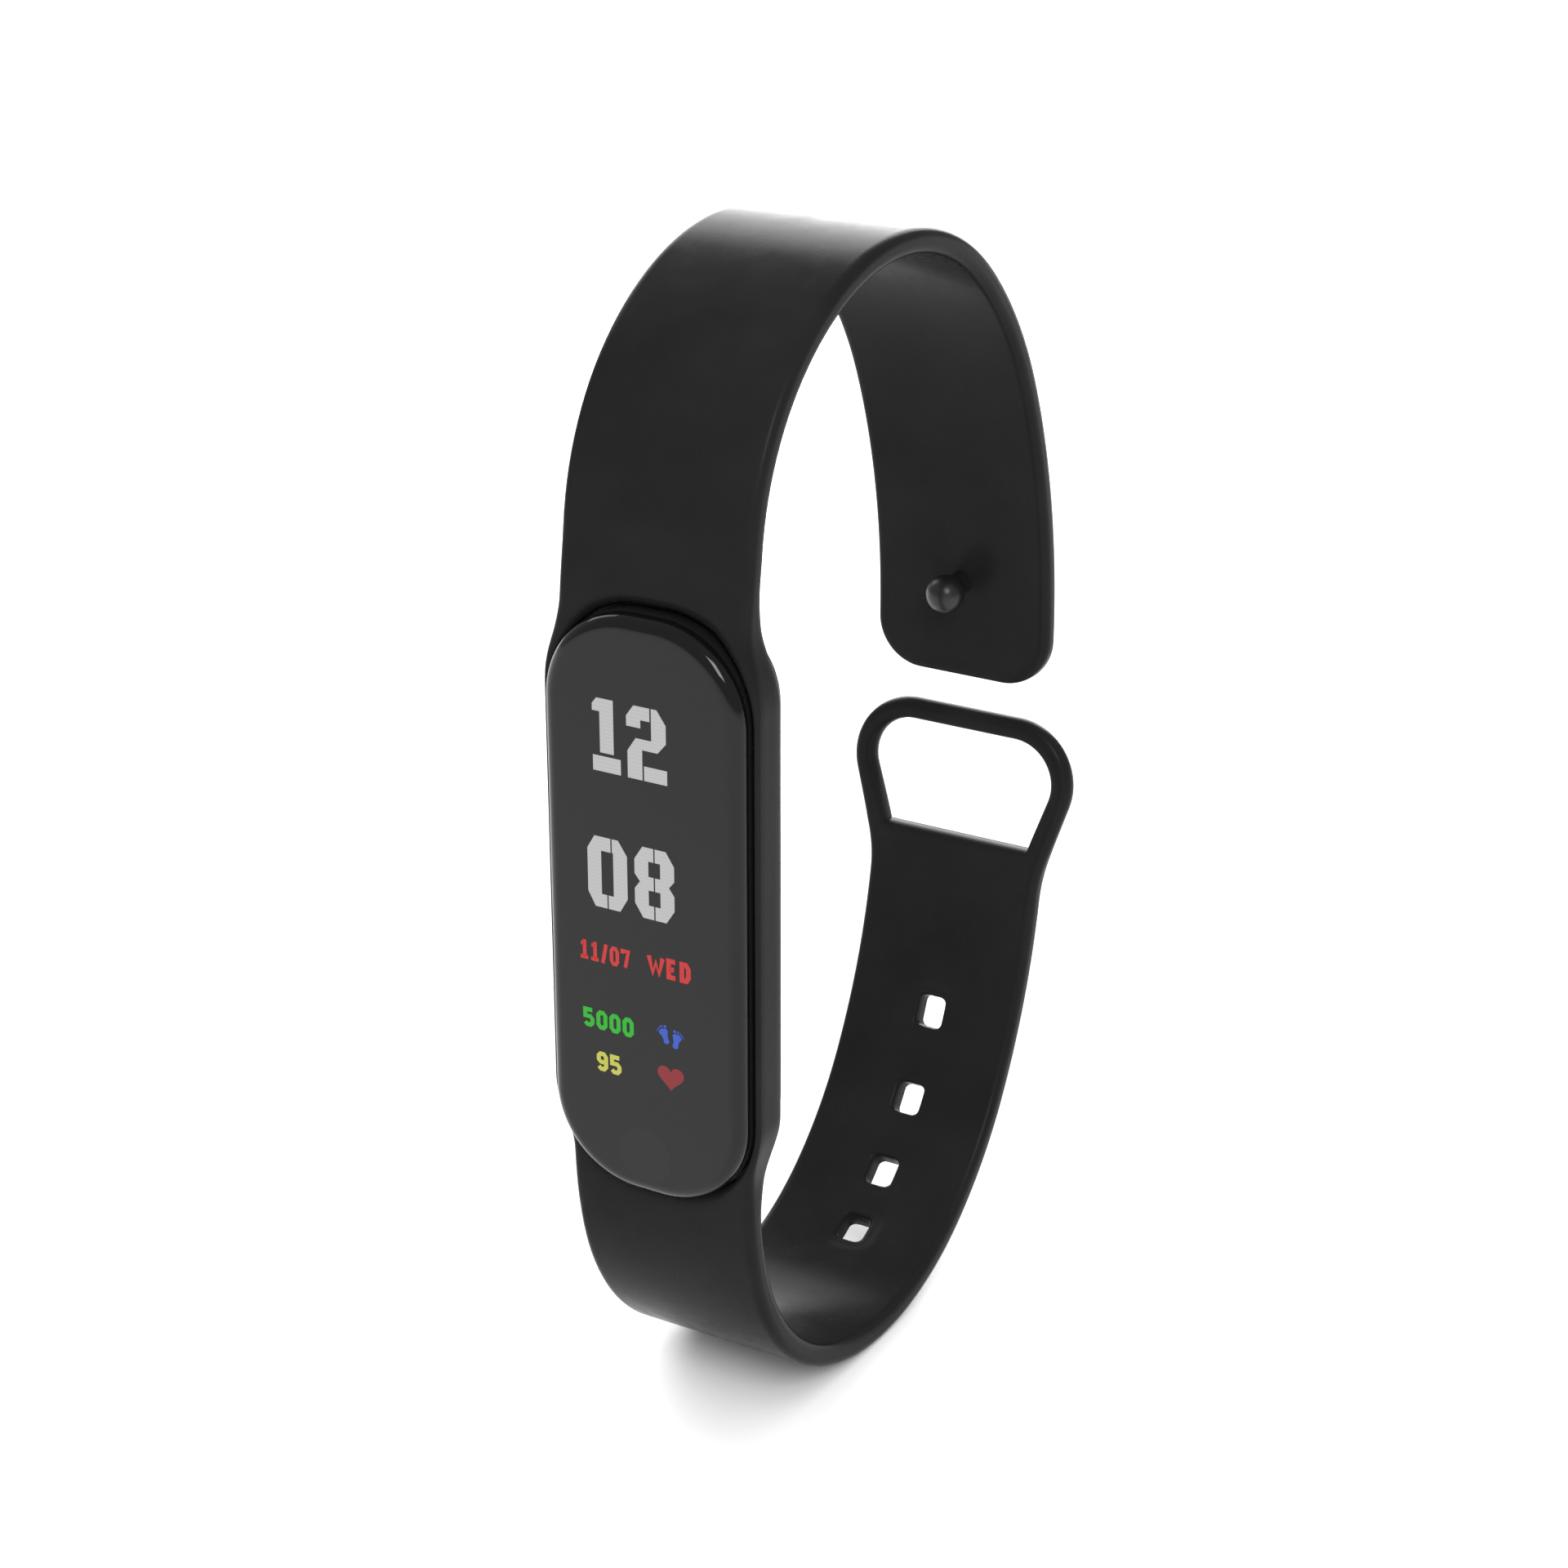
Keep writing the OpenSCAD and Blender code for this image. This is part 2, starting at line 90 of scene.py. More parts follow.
# the stud's stem and flange, and its cap, as (radius, depth behind the outer face)
STUD_STEM = [(STUD_NECK, 3.0), (STUD_NECK, 1.0), (2.5, 0.98), (2.58, 0.9), (2.58, 0.52)]
STUD_CAP = [(2.58, 0.46), (2.6, 0.4), (2.6, 0.16), (2.54, 0.08), (2.42, 0.04), (1.6, 0.03),
            (0.5, 0.03)]
LOOP_FOOT, LOOP_LEAN = 7.6, math.radians(17.0)
LOOP_RISE, LOOP_CORNER, BAR_R = 12.2, 4.7, 0.95
LOOP_BACK = 1.5         # the loop's feet start this far before the strap's end
LOOP_HEADING = math.radians(83.2)
LOOP_SHOULDER = 3.0     # the strap flares into the legs from this far before the feet
POD_HALF_X, POD_HALF_Z, POD_CORNER = 8.65, 23.7, 7.5
SEAT_GAP = 0.25         # between the collar and the tracker
CASE_STEP = 0.8         # from the tracker's rim in to its back shell
GLASS_T, GLASS_ROUND = 1.2, 1.0         # the glass's thickness and how much of it is rounded


# ---- shaping ----

def smooth(t):
    """An ease between 0 and 1."""
    t = np.clip(t, 0.0, 1.0)
    return t * t * (3 - 2 * t)


def rounded(x, z, half_x, half_z, corner):
    """Distance outside a rectangle with round corners; negative inside."""
    dx = np.abs(x) - (half_x - corner)
    dz = np.abs(z) - (half_z - corner)
    outside = np.hypot(np.maximum(dx, 0), np.maximum(dz, 0))
    return outside + np.minimum(np.maximum(dx, dz), 0) - corner


def fillet_drop(distance, radius):
    """How far a round edge falls away at a distance in from it."""
    inside = np.clip(radius - distance, 0, radius)
    return radius - np.sqrt(np.maximum(radius * radius - inside * inside, 0))


def pairs(x, s):
    """Plan points from two coordinates; either may be a single number."""
    return np.stack(np.broadcast_arrays(x, s), 1).astype(float)


def nearest(points, line):
    """Distance from each plan point to a polyline."""
    a, b = line[:-1], line[1:]
    along = b - a
    length = np.maximum((along ** 2).sum(1), 1e-12)
    t = ((points[:, None, :] - a[None]) * along[None]).sum(2) / length[None]
    foot = a[None] + np.clip(t, 0, 1)[..., None] * along[None]
    return np.sqrt(((points[:, None, :] - foot) ** 2).sum(2)).min(1)


def meet(inside, outside, distance):
    """Where the lines from inside to outside cross an outline."""
    lo, hi = np.zeros(len(outside)), np.ones(len(outside))
    for _ in range(40):     # halvings, far below the weld distance
        mid = (lo + hi) / 2
        p = inside + (outside - inside) * mid[:, None]
        out = distance(p[:, 0], p[:, 1]) > 0
        hi, lo = np.where(out, mid, hi), np.where(out, lo, mid)
    return inside + (outside - inside) * hi[:, None]


def between(a, b, shares):
    """Rows of points from outline a to outline b."""
    return np.array([a + (b - a) * s for s in shares])


def bends(start, heading, radii, turns, turn):
    """Points along a run of tangent bends, seen from the side."""
    points, p, h = [], np.array(start, float), math.radians(heading)
    for radius, degrees in zip(radii, turns):
        angle = math.radians(degrees)
        centre = p + radius * turn * np.array([-math.sin(h), math.cos(h)])
        count = max(2, int(radius * angle / BEND_STEP))
        for i in range(count):
            g = h + turn * angle * i / count
            points.append(centre - radius * turn * np.array([-math.sin(g), math.cos(g)]))
        h += turn * angle
        p = centre - radius * turn * np.array([-math.sin(h), math.cos(h)])
    points.append(p)
    return np.array(points)


class Half:
    """One half of the band as a path along its outer face, from the collar's middle.
    way is 1 for the upper half and -1 for the lower one."""

    def __init__(self, shape, way, ease, tail=None):
        raw = bends(**shape)
        self.way = way
        self.bend_length = sum(r * math.radians(t) for r, t in zip(shape["radii"], shape["turns"]))
        far = COLLAR_Z + way * SIDE_REACH
        i = int(np.argmax(way * (raw[:, 1] - far) > 0))
        z = np.linspace(COLLAR_Z, far, 101)
        y = np.interp(way * z, way * raw[:i + 1, 1], raw[:i + 1, 0])
        eased = smooth((np.abs(z - COLLAR_Z) - ease[0]) / (ease[1] - ease[0]))
        y = COLLAR_Y + (y - COLLAR_Y) * eased
        points = np.vstack([pairs(y, z), raw[i + 1:]])
        bend_end = np.hypot(*np.diff(points, axis=0).T).sum()
        if tail is not None:
            points = np.vstack([points, points[-1] + tail])
        steps = np.hypot(*np.diff(points, axis=0).T)
        self.points = points
        self.s = np.concatenate([[0], np.cumsum(steps)])
        self.end = float(bend_end)      # the strap's end, before any loop
        tangent = np.gradient(points, self.s, axis=0)
        tangent /= np.hypot(*tangent.T)[:, None]
        self.out = way * pairs(-tangent[:, 1], tangent[:, 0])

    def height(self, s):
        return np.interp(s, self.s, self.points[:, 1])

    def s_at(self, z):
        """The way along at a height beside the tracker."""
        near = self.s < SIDE_REACH + 4
        return np.interp(self.way * np.asarray(z), self.way * self.points[near, 1], self.s[near])

    def place(self, x, s, depth):
        """Points at x across and s along, a depth in from the outer face."""
        x, s, depth = np.broadcast_arrays(x, s, depth)
        y, z = (np.interp(s, self.s, face) - np.interp(s, self.s, out) * depth
                for face, out in zip(self.points.T, self.out.T))
        return np.stack([x, y, z], -1)


def half_width(z):
    """Half the band's width beside the tracker."""
    return STRAP_HALF + (COLLAR_HALF - STRAP_HALF) * smooth(
        (NARROW_FROM - np.abs(z - COLLAR_Z)) / (NARROW_FROM - WIDE_TO))


def thickness(z):
    """The band's thickness beside the tracker."""
    return STRAP_T + (COLLAR_T - STRAP_T) * smooth(
        (THIN_FROM - np.abs(z - COLLAR_Z)) / (THIN_FROM - THICK_TO))


def as_piece(bm, name, material):
    """Turns a mesh in the making into an object with one material."""
    mesh = bpy.data.meshes.new(name)
    bm.to_mesh(mesh)
    bm.free()
    mesh.materials.append(material)
    piece = bpy.data.objects.new(name, mesh)
    bpy.context.scene.collection.objects.link(piece)
    return piece


WELD = 0.002 * MM


class Skin:
    """Gathers sheets of quads and welds them into one closed mesh, in millimetres."""

    def __init__(self):
        self.points, self.faces = [], []

    def sheet(self, grid):
        base = sum(len(p) for p in self.points)
        rows, cols = grid.shape[:2]
        self.points.append(grid.reshape(-1, 3))
        self.faces += [(base + r * cols + c, base + r * cols + c + 1,
                        base + (r + 1) * cols + c + 1, base + (r + 1) * cols + c)
                       for r in range(rows - 1) for c in range(cols - 1)]

    def ring(self, loops):
        """Closed loops joined in order; close fills both ends flat."""
        self.sheet(np.array([np.vstack([loop, loop[:1]]) for loop in loops]))

    def close(self, name, material, sharp=40.0):
        """Welds the sheets, fills open ends and makes the piece. Edges past the sharp
        angle, in degrees, stay crisp."""
        bm = bmesh.new()
        made = [bm.verts.new(Vector(p) * MM) for p in np.vstack(self.points)]
        for f in self.faces:
            bm.faces.new([made[i] for i in f])
        bmesh.ops.remove_doubles(bm, verts=bm.verts, dist=WELD)
        bmesh.ops.dissolve_degenerate(bm, dist=WELD / 4, edges=bm.edges)
        open_edges = [e for e in bm.edges if e.is_boundary]
        if open_edges:
            bmesh.ops.holes_fill(bm, edges=open_edges, sides=0)
        bmesh.ops.recalc_face_normals(bm, faces=bm.faces)
        bad = [e for e in bm.edges if not e.is_manifold]
        if bad:
            raise RuntimeError(f"{name}: {len(bad)} edges are open or shared")
        for e in bm.edges:
            e.smooth = e.calc_face_angle(0) < math.radians(sharp)
        for f in bm.faces:
            f.smooth = True
        return as_piece(bm, name, material)


# ---- the two moulded halves of the band ----

EDGE_STEPS = (0.0, 0.08, 0.2, 0.38, 0.6, 0.9)
CELL = 4                    # half the width of the grid cell around a hole
NEXT_TO_CELL = 5.7          # the one grid line between a cell and the strap's edge
ROW_STEP = 1.1              # between grid rows along the plain strap
SHARES = (0, 0.03, 0.08, 0.15, 0.25, 0.38, 0.5, 0.62, 0.74, 0.84, 0.92, 0.97, 1)
HOLE_SHARES = (0, 0.035, 0.08, 0.13, 0.2, 0.3, 0.4, 0.5, 0.6, 0.7, 0.8, 0.9, 1)
LOOP_SHARES = (0, 0.04, 0.1, 0.18, 0.28, 0.4, 0.5, 0.6, 0.72, 0.82, 0.9, 0.96, 1)
FAN_MIDDLE, FAN_FROM = 11.5, 14.0       # the grid fans out round the opening's end from here
OUTER_SHARE, INNER_SHARE = 0.62, 0.36   # the most of a narrow wall that each rounding takes
SEAT_WALL = 0.12            # the least wall left above the tracker's ledge
BACK_EDGE = 0.35            # rounding of the opening on the skin side, and of the slot's sill
HOLE_FRONT_EDGE, SEAT_EDGE = 0.08, 0.15 # rounding of holes and seat on the outer face
RECESS_FLAT, RECESS_RUN = 0.4, 1.3      # the recess keeps its depth, then fades out
BAR_FLAT = 0.14             # the flat left along the middle of the loop's sides


def across():
    """The strap's grid lines across its width."""
    side = [STRAP_HALF - e for e in EDGE_STEPS] + [NEXT_TO_CELL]
    return np.array([-x for x in side] + list(range(-CELL, CELL + 1)) + side[::-1], float)


def mould_half(skin, half, sizes, cells, tip=False, loop=False):
    """Adds one half's sheets to a skin: collar, strap, holes, and its tip or keeper loop.
    cells lists the (kind, middle, start, stop) of holes and of the stud's seat."""
    way = half.way
    radius = sizes.strap_edge / MM
    columns = across()
    far_z = COLLAR_Z + way * GRID_FROM
    s_far = float(half.s_at(far_z))
    hole_s = [at for kind, at, start, stop in cells if kind == "hole"]
    tip_start = half.end - TIP_CORNER
    loop_s = half.end - LOOP_BACK

    def body(s):
        """Middle depth and half thickness; the loop's bar is a little thinner."""
        middle = np.where(s < s_far + 1, thickness(half.height(s)), STRAP_T) / 2
        if not loop:
            return middle, middle
        return middle, middle + (BAR_R - STRAP_T / 2) * smooth((s - loop_s + 1) / 4)

    def face_at(x, s, face, *drops):
        """Points on the outer (-1) or skin (1) face, let down by some drops."""
        m, h = body(s)
        return half.place(x, s, m + face * (h - sum(drops)))

    def from_hole(at):
        """Distance outside the hole at a place along the strap."""
        return lambda x, s: rounded(x, s - at, HOLE_HALF_W, HOLE_HALF_L, HOLE_CORNER)

    def recess(x, s):
        """Depth of the soft recess around each hole on the skin side."""
        deep = np.zeros(np.broadcast(x, s).shape)
        for at in hole_s:
            fade = smooth((from_hole(at)(x, s) - RECESS_FLAT) / RECESS_RUN)
            deep = np.maximum(deep, 1 - fade)
        return deep * sizes.hole_recess / MM

    def side_gap(x, s):
        """Distance in from the outer edge, along the plain strap."""
        gap = STRAP_HALF - np.abs(x)
        if tip:
            rounded_tip = -rounded(x, s - (half.end - TAIL), STRAP_HALF, TAIL, TIP_CORNER)
            gap = np.where(s > half.end - TIP_ZONE, rounded_tip, gap)
        return np.maximum(gap, 0)

    # beside the tracker: rays run from the opening's outline to the band's outline
    side_z = np.concatenate([np.linspace(COLLAR_Z, COLLAR_Z + way * FAN_FROM, 15)[:-1],
                             np.linspace(COLLAR_Z + way * FAN_FROM, far_z, 32)])
    side = pairs(half_width(side_z), side_z)
    outer = np.vstack([side[:-1] * (-1, 1), pairs(columns, far_z), side[::-1][1:]])
    middle = pairs(0.0, way * np.minimum(way * outer[:, 1], way * (TRACKER_Z + way * FAN_MIDDLE)))

    def opening(grow):
        return lambda x, z: rounded(x, z - TRACKER_Z, POD_HALF_X + grow, POD_HALF_Z + grow,
                                    POD_CORNER + grow)

    def collar_sheet(grow, face, edge):
        """One face around the tracker's opening, with a rounding of its own."""
        outline = opening(grow)
        plan = between(meet(middle, outer, outline), outer, SHARES)
        x, z = plan[..., 0], plan[..., 1]
        gap_in = np.maximum(outline(x, z), 0)
        gap_out = np.maximum(half_width(z) - np.abs(x), 0)
        s = half.s_at(z)
        r_out = np.minimum(radius, OUTER_SHARE * (gap_in + gap_out))
        r_in = np.minimum(edge, INNER_SHARE * (gap_in + gap_out))
        if face < 0:
            r_in = np.minimum(r_in, SEAT_Y - SEAT_WALL - np.interp(s, half.s, half.points[:, 0]))
        return face_at(x, s, face, fillet_drop(gap_out, r_out), fillet_drop(gap_in, r_in))

    front = collar_sheet(SEAT_GAP, -1, sizes.opening_edge / MM)
    back = collar_sheet(SEAT_GAP - CASE_STEP, 1, BACK_EDGE)
    skin.sheet(front)
    skin.sheet(back)
    # the opening's wall, with the ledge for the tracker's rim
    lip, foot = front[0], back[0]
    ledge_out, ledge_in = lip.copy(), foot.copy()
    ledge_out[:, 1] = ledge_in[:, 1] = SEAT_Y
    skin.sheet(np.array([lip, ledge_out, between(ledge_out, ledge_in, (0.5,))[0], ledge_in, foot]))

    def strap_sheets(x, s, faces=(-1, 1)):
        """The faces along the plain strap."""
        edge = fillet_drop(side_gap(x, s), radius)
        for face in faces:
            skin.sheet(face_at(x, s, face, edge, recess(x, s) if face > 0 else 0))

    def hole_sheets(at, rim):
        """Both faces around a hole, and its wall."""
        plan = between(meet(pairs(np.zeros(len(rim)), at), rim, from_hole(at)), rim, HOLE_SHARES)
        x, s = plan[..., 0], plan[..., 1]
        gap = np.maximum(from_hole(at)(x, s), 0)
        outside = face_at(x, s, -1, fillet_drop(gap, HOLE_FRONT_EDGE))
        inside = face_at(x, s, 1, recess(x, s), fillet_drop(gap, sizes.hole_edge / MM))
        skin.sheet(outside)
        skin.sheet(inside)
        skin.sheet(np.array([outside[0], (outside[0] + inside[0]) / 2, inside[0]]))

    def seat_sheets(at, rim):
        """The outer face around the stud's seat, with the seat's wall and floor."""
        centre = pairs(np.zeros(len(rim)), at)
        circle = meet(centre, rim, lambda x, s: np.hypot(x, s - at) - SEAT_R)
        plan = between(circle, rim, HOLE_SHARES)
        x, s = plan[..., 0], plan[..., 1]
        gap = np.maximum(np.hypot(x, s - at) - SEAT_R, 0)
        outside = face_at(x, s, -1, fillet_drop(gap, SEAT_EDGE))
        floor = between(circle, centre, (0, 0.3, 0.6, 1))
        sunk = half.place(floor[..., 0], floor[..., 1], SEAT_DEPTH)
        skin.sheet(outside)
        skin.sheet(np.array([outside[0], sunk[0]]))
        skin.sheet(sunk)

    # along the strap: plain rows between stops, and a cell for each hole and the seat
    stops = [s_far]
    for kind, at, start, stop in cells:
        if start > stops[-1] + 1e-6:
            stops.append(start)
        stops.append(stop)
    stops.append(loop_s - LOOP_SHOULDER if loop else tip_start)
    cell_of = {round(start, 4): (kind, at) for kind, at, start, stop in cells}
    left = int(np.argmin(np.abs(columns + CELL)))
    right = int(np.argmin(np.abs(columns - CELL)))
    edges = []
    for a, b in zip(stops[:-1], stops[1:]):
        kind, at = cell_of.get(round(a, 4), (None, None))
        rows = np.linspace(a, b, 1 + (2 * CELL if kind else max(2, int((b - a) / ROW_STEP))))
        edges += list(rows if not edges else rows[1:])
        x, s = np.meshgrid(columns, rows)
        if not kind:
            strap_sheets(x, s)
            continue
        strap_sheets(x[:, :left + 1], s[:, :left + 1])
        strap_sheets(x[:, right:], s[:, right:])
        inner = columns[left:right + 1]
        rim = np.vstack([pairs(inner, a)[:-1], pairs(float(CELL), rows)[:-1],
                         pairs(inner[::-1], b)[:-1], pairs(-float(CELL), rows[::-1])])
        if kind == "hole":
            hole_sheets(at, rim)
        else:
            seat_sheets(at, rim)
            strap_sheets(x[:, left:right + 1], s[:, left:right + 1], (1,))

    if tip:
        turns = np.linspace(0, math.pi / 2, 15)
        rows = tip_start + TIP_CORNER * np.sin(turns)
        narrow = STRAP_HALF - TIP_CORNER + TIP_CORNER * np.cos(turns)
        x = narrow[:, None] * (columns / STRAP_HALF)[None]
        s = np.repeat(rows[:, None], len(columns), 1)
        strap_sheets(x, s)
        rim = np.vstack([pairs(-narrow, rows)[:-1], pairs(x[-1], s[-1]),
                         pairs(narrow, rows)[::-1][1:]])
        rim_radius = np.full(len(rim), radius)
    if loop:
        rim, rim_radius = keeper_loop(skin, face_at, columns, loop_s, radius)

    # the outer walls, all the way round
    left_side = pairs(-STRAP_HALF, np.array(edges))
    collar_side = pairs(-half_width(side_z), half.s_at(side_z))
    path = np.vstack([collar_side[:-1], left_side[:-1], rim,
                      left_side[::-1][1:] * (-1, 1), collar_side[::-1][1:] * (-1, 1)])
    strap_radius = np.full(len(left_side) - 1, radius)
    levels = []
    for face, grow in ((-1, SEAT_GAP), (1, SEAT_GAP - CASE_STEP)):
        gap = np.maximum(opening(grow)(collar_side[:-1, 0], side_z[:-1]), 0)
        at_collar = np.minimum(radius, OUTER_SHARE * gap)
        r = np.concatenate([at_collar, strap_radius, rim_radius, strap_radius, at_collar[::-1]])
        levels.append(face_at(path[:, 0], path[:, 1], face, r))
    skin.sheet(between(levels[0], levels[1], (0, 0.25, 0.5, 0.75, 1)))


def keeper_loop(skin, face_at, columns, loop_s, radius):
    """The end of the strap opens into a round-edged loop. Returns the rim it leaves.
    Plan points are across the strap and on from the loop's feet."""
    lean = np.array([math.sin(LOOP_LEAN), math.cos(LOOP_LEAN)])
    side = np.array([lean[1], -lean[0]])
    corner = np.array([LOOP_FOOT - (LOOP_CORNER - (LOOP_RISE - LOOP_CORNER) * lean[0]) / lean[1],
                       LOOP_RISE - LOOP_CORNER])
    foot = np.array([LOOP_FOOT, 0.0])
    first = (LOOP_BACK - BAR_R * lean[0]) / lean[1]
    leg = float((corner - foot) @ lean)
    run = [(foot + lean * t, side) for t in np.linspace(first, leg, 12)[:-1]]
    for a in np.linspace(-LOOP_LEAN, math.pi / 2, 22):
        outward = np.array([math.cos(a), math.sin(a)])
        run.append((corner + LOOP_CORNER * outward, outward))
    run += [(np.array([x, LOOP_RISE]), np.array([0.0, 1.0]))
            for x in np.linspace(corner[0], 0, 9)[1:]]
    inner = np.array([p - BAR_R * n for p, n in run])
    outer = np.array([p + BAR_R * n for p, n in run])
    # the strap's side flares into the foot of the leg
    flare_end, rise = outer[0], outer[0, 1] + LOOP_SHOULDER
    v = np.linspace(-LOOP_SHOULDER, flare_end[1], 8)[:-1]
    t = (v + LOOP_SHOULDER) / rise
    slope = lean[0] / lean[1] * rise
    flare = pairs(STRAP_HALF + (flare_end[0] - STRAP_HALF) * (3 * t ** 2 - 2 * t ** 3)
                  + slope * (t ** 3 - t ** 2), v)
    outer_half = np.vstack([flare, outer])
    inner_half = np.vstack([np.tile(inner[0], (len(flare), 1)), inner])
    flip = np.array([-1.0, 1.0])
    outer_rim = np.vstack([outer_half, outer_half[::-1][1:] * flip])
    inner_rim = np.vstack([inner_half, inner_half[::-1][1:] * flip])
    sill = pairs(columns * inner[0, 0] / STRAP_HALF, LOOP_BACK)

    slot_line = np.vstack([inner_half, inner_half[::-1] * flip, inner_half[:1]])
    before = [STRAP_HALF, -3 * LOOP_SHOULDER]
    outer_line = np.vstack([[before], outer_rim, [before * flip]])

    def radii(v):
        """The rounding outside and inside eases from the strap's to the round bar's."""
        full = BAR_R - BAR_FLAT
        return (radius + (full - radius) * smooth((v + 1.5) / 5),
                BACK_EDGE + (full - BACK_EDGE) * smooth((v - LOOP_BACK) / 6.5))

    for inside, outside in ((inner_rim, outer_rim), (sill, pairs(columns, -LOOP_SHOULDER))):
        plan = between(inside, outside, LOOP_SHARES)
        gap_in, gap_out = (nearest(plan.reshape(-1, 2), line).reshape(plan.shape[:2])
                           for line in (slot_line, outer_line))
        r_out, r_in = radii(plan[..., 1])
        for face in (-1, 1):
            skin.sheet(face_at(plan[..., 0], plan[..., 1] + loop_s, face,
                               fillet_drop(gap_out, r_out), fillet_drop(gap_in, r_in)))
    slot = np.vstack([inner_rim[len(flare):len(inner_rim) - len(flare)], sill[1:-1]])
    slot = np.vstack([slot, slot[:1]])
    skin.sheet(np.array([face_at(slot[:, 0], slot[:, 1] + loop_s, face, radii(slot[:, 1])[1])
                         for face in (-1, 0, 1)]))
    rim = outer_rim[::-1].copy()
    out_radius = radii(rim[:, 1])[0]
    rim[:, 1] += loop_s
    return rim, out_radius


# ---- flat shapes under the glass ----

def disc(x, z, radius, count):
    """A round outline."""
    turns = np.linspace(0, 2 * math.pi, count, endpoint=False)
    return pairs(x + radius * np.cos(turns), z + radius * np.sin(turns))


def stroke(points, width, closed):
    """Quads of an even-width line with mitred joints."""
    p = np.array(points, float)
    n = len(p)
    ends = []
    for i in range(n):
        before = p[i] - p[i - 1] if closed or i else p[1] - p[0]
        after = p[(i + 1) % n] - p[i] if closed or i < n - 1 else p[-1] - p[-2]
        a, b = before / np.hypot(*before), after / np.hypot(*after)
        mid = (a + b) / np.hypot(*(a + b))
        side = np.array([-mid[1], mid[0]]) * (width / 2 / max(mid @ a, MITRE_LIMIT))
        ends.append((p[i] + side, p[i] - side))
    count = n if closed else n - 1
    return [np.array([ends[i][0], ends[(i + 1) % n][0], ends[(i + 1) % n][1], ends[i][1]])
            for i in range(count)]


MITRE_LIMIT = 0.7           # keeps the points of sharp corners short
GLYPH_GAP = 0.16            # between glyphs, as a share of a plain glyph's width
GLYPH_WIDTHS = {"W": 1.45, "/": 0.8, "1": 0.95}
# strokes of each glyph in a box 1 wide and 1 high, and whether they close
GLYPHS = {
    "0": [([(.3, 0), (.7, 0), (1, .18), (1, .82), (.7, 1), (.3, 1), (0, .82), (0, .18)], True)],
    "1": [([(.55, 1.1), (.55, 0)], False), ([(-.1, .86), (.5, .86)], False),
          ([(-.2, 0), (1.2, 0)], False)],
    "5": [([(1, 1), (0, 1), (0, .56), (.72, .56), (1, .4), (1, .16), (.72, 0), (.25, 0),
            (0, .14)], False)],
    "7": [([(0, .82), (0, 1), (1, 1), (.45, -.04)], False)],
    "9": [([(0, .14), (.28, 0), (.72, 0), (1, .18), (1, .82), (.72, 1), (.28, 1), (0, .84),
            (0, .6), (.28, .46), (.88, .46)], False)],
    "/": [([(0, -.12), (1, 1.12)], False)],
    "W": [([(-.05, 1.04), (.25, 0), (.5, .7), (.75, 0), (1.05, 1.04)], False)],
    "E": [([(1, 1), (0, 1), (0, 0), (1, 0)], False), ([(.12, .5), (.8, .5)], False)],
    "D": [([(0, 0), (0, 1), (.66, 1), (1, .76), (1, .24), (.66, 0)], True)],
}


def line_of(text, left, right, top, bottom, weight):
    """A line of block glyphs that fills a box, drawn in strokes of one weight."""
    pitch = (right - left) / (sum(GLYPH_WIDTHS.get(c, 1.0) for c in text) - GLYPH_GAP)
    shapes, x = [], left
    for c in text:
        w = (GLYPH_WIDTHS.get(c, 1.0) - GLYPH_GAP) * pitch
        for points, closed in GLYPHS[c]:
            placed = [(x + weight / 2 + px * (w - weight),
                       bottom + weight / 2 + pz * (top - bottom - weight)) for px, pz in points]
            shapes += stroke(placed, weight, closed)
        x += GLYPH_WIDTHS.get(c, 1.0) * pitch
    return shapes


def mirrored(points, x):
    """The same outline on the other side of a vertical line."""
    return [(2 * x - px, pz) for px, pz in points]


# name; text, left, right, top, bottom and weight of the strokes; material; colour setting
LINES = (
    ("date_digits", ("11/07", -5.7, -1.15, -3.0, -4.62, 0.31), "display_red", "date"),
    ("date_day", ("WED", 0.4, 4.25, -2.82, -4.55, 0.4), "display_red", "date"),
    ("step_count", ("5000", -5.55, -0.95, -8.72, -10.35, 0.36), "display_green", "steps"),
    ("pulse_count", ("95", -4.4, -2.15, -12.25, -13.9, 0.36), "display_yellow", "pulse"),
)
TOUCH_KEY = (0.0, -20.2, 2.35)          # middle and radius
# the large digits' block shapes, in millimetres from the tracker's middle
HOURS = [
    [(-4.1, 15.95), (-4.1, 16.5), (-3.7, 17.0), (-2.25, 17.0), (-2.25, 12.7), (-3.45, 12.7),
     (-3.45, 15.95)],
    [(-4.1, 12.42), (-1.65, 12.42), (-1.65, 11.2), (-4.1, 11.2)],
    [(-1.1, 15.3), (-1.1, 16.1), (-.45, 17.0), (.93, 17.0), (.93, 15.95), (.13, 15.95),
     (.13, 15.3)],
    [(1.07, 17.0), (1.55, 17.0), (2.33, 15.9), (2.33, 14.45), (1.6, 13.6), (.25, 13.6), (.25, 11.2),
     (-1.03, 11.2), (-1.03, 13.35), (-.3, 14.45), (1.07, 14.45)],
    [(.4, 12.35), (2.4, 12.35), (2.4, 11.2), (.4, 11.2)],
]
ZERO = [
    [(-4.15, 5.85), (-2.73, 5.85), (-2.73, 4.72), (-3.58, 4.72), (-3.58, 1.15), (-3.1, 1.15),
     (-3.1, .05), (-4.15, .05), (-4.8, 1.2), (-4.8, 4.75)],
    [(-2.6, 5.85), (-2.05, 5.85), (-1.27, 4.7), (-1.27, 1.2), (-1.95, .05), (-2.97, .05),
     (-2.97, 1.15), (-2.5, 1.15), (-2.5, 4.72), (-2.6, 4.72)],
]
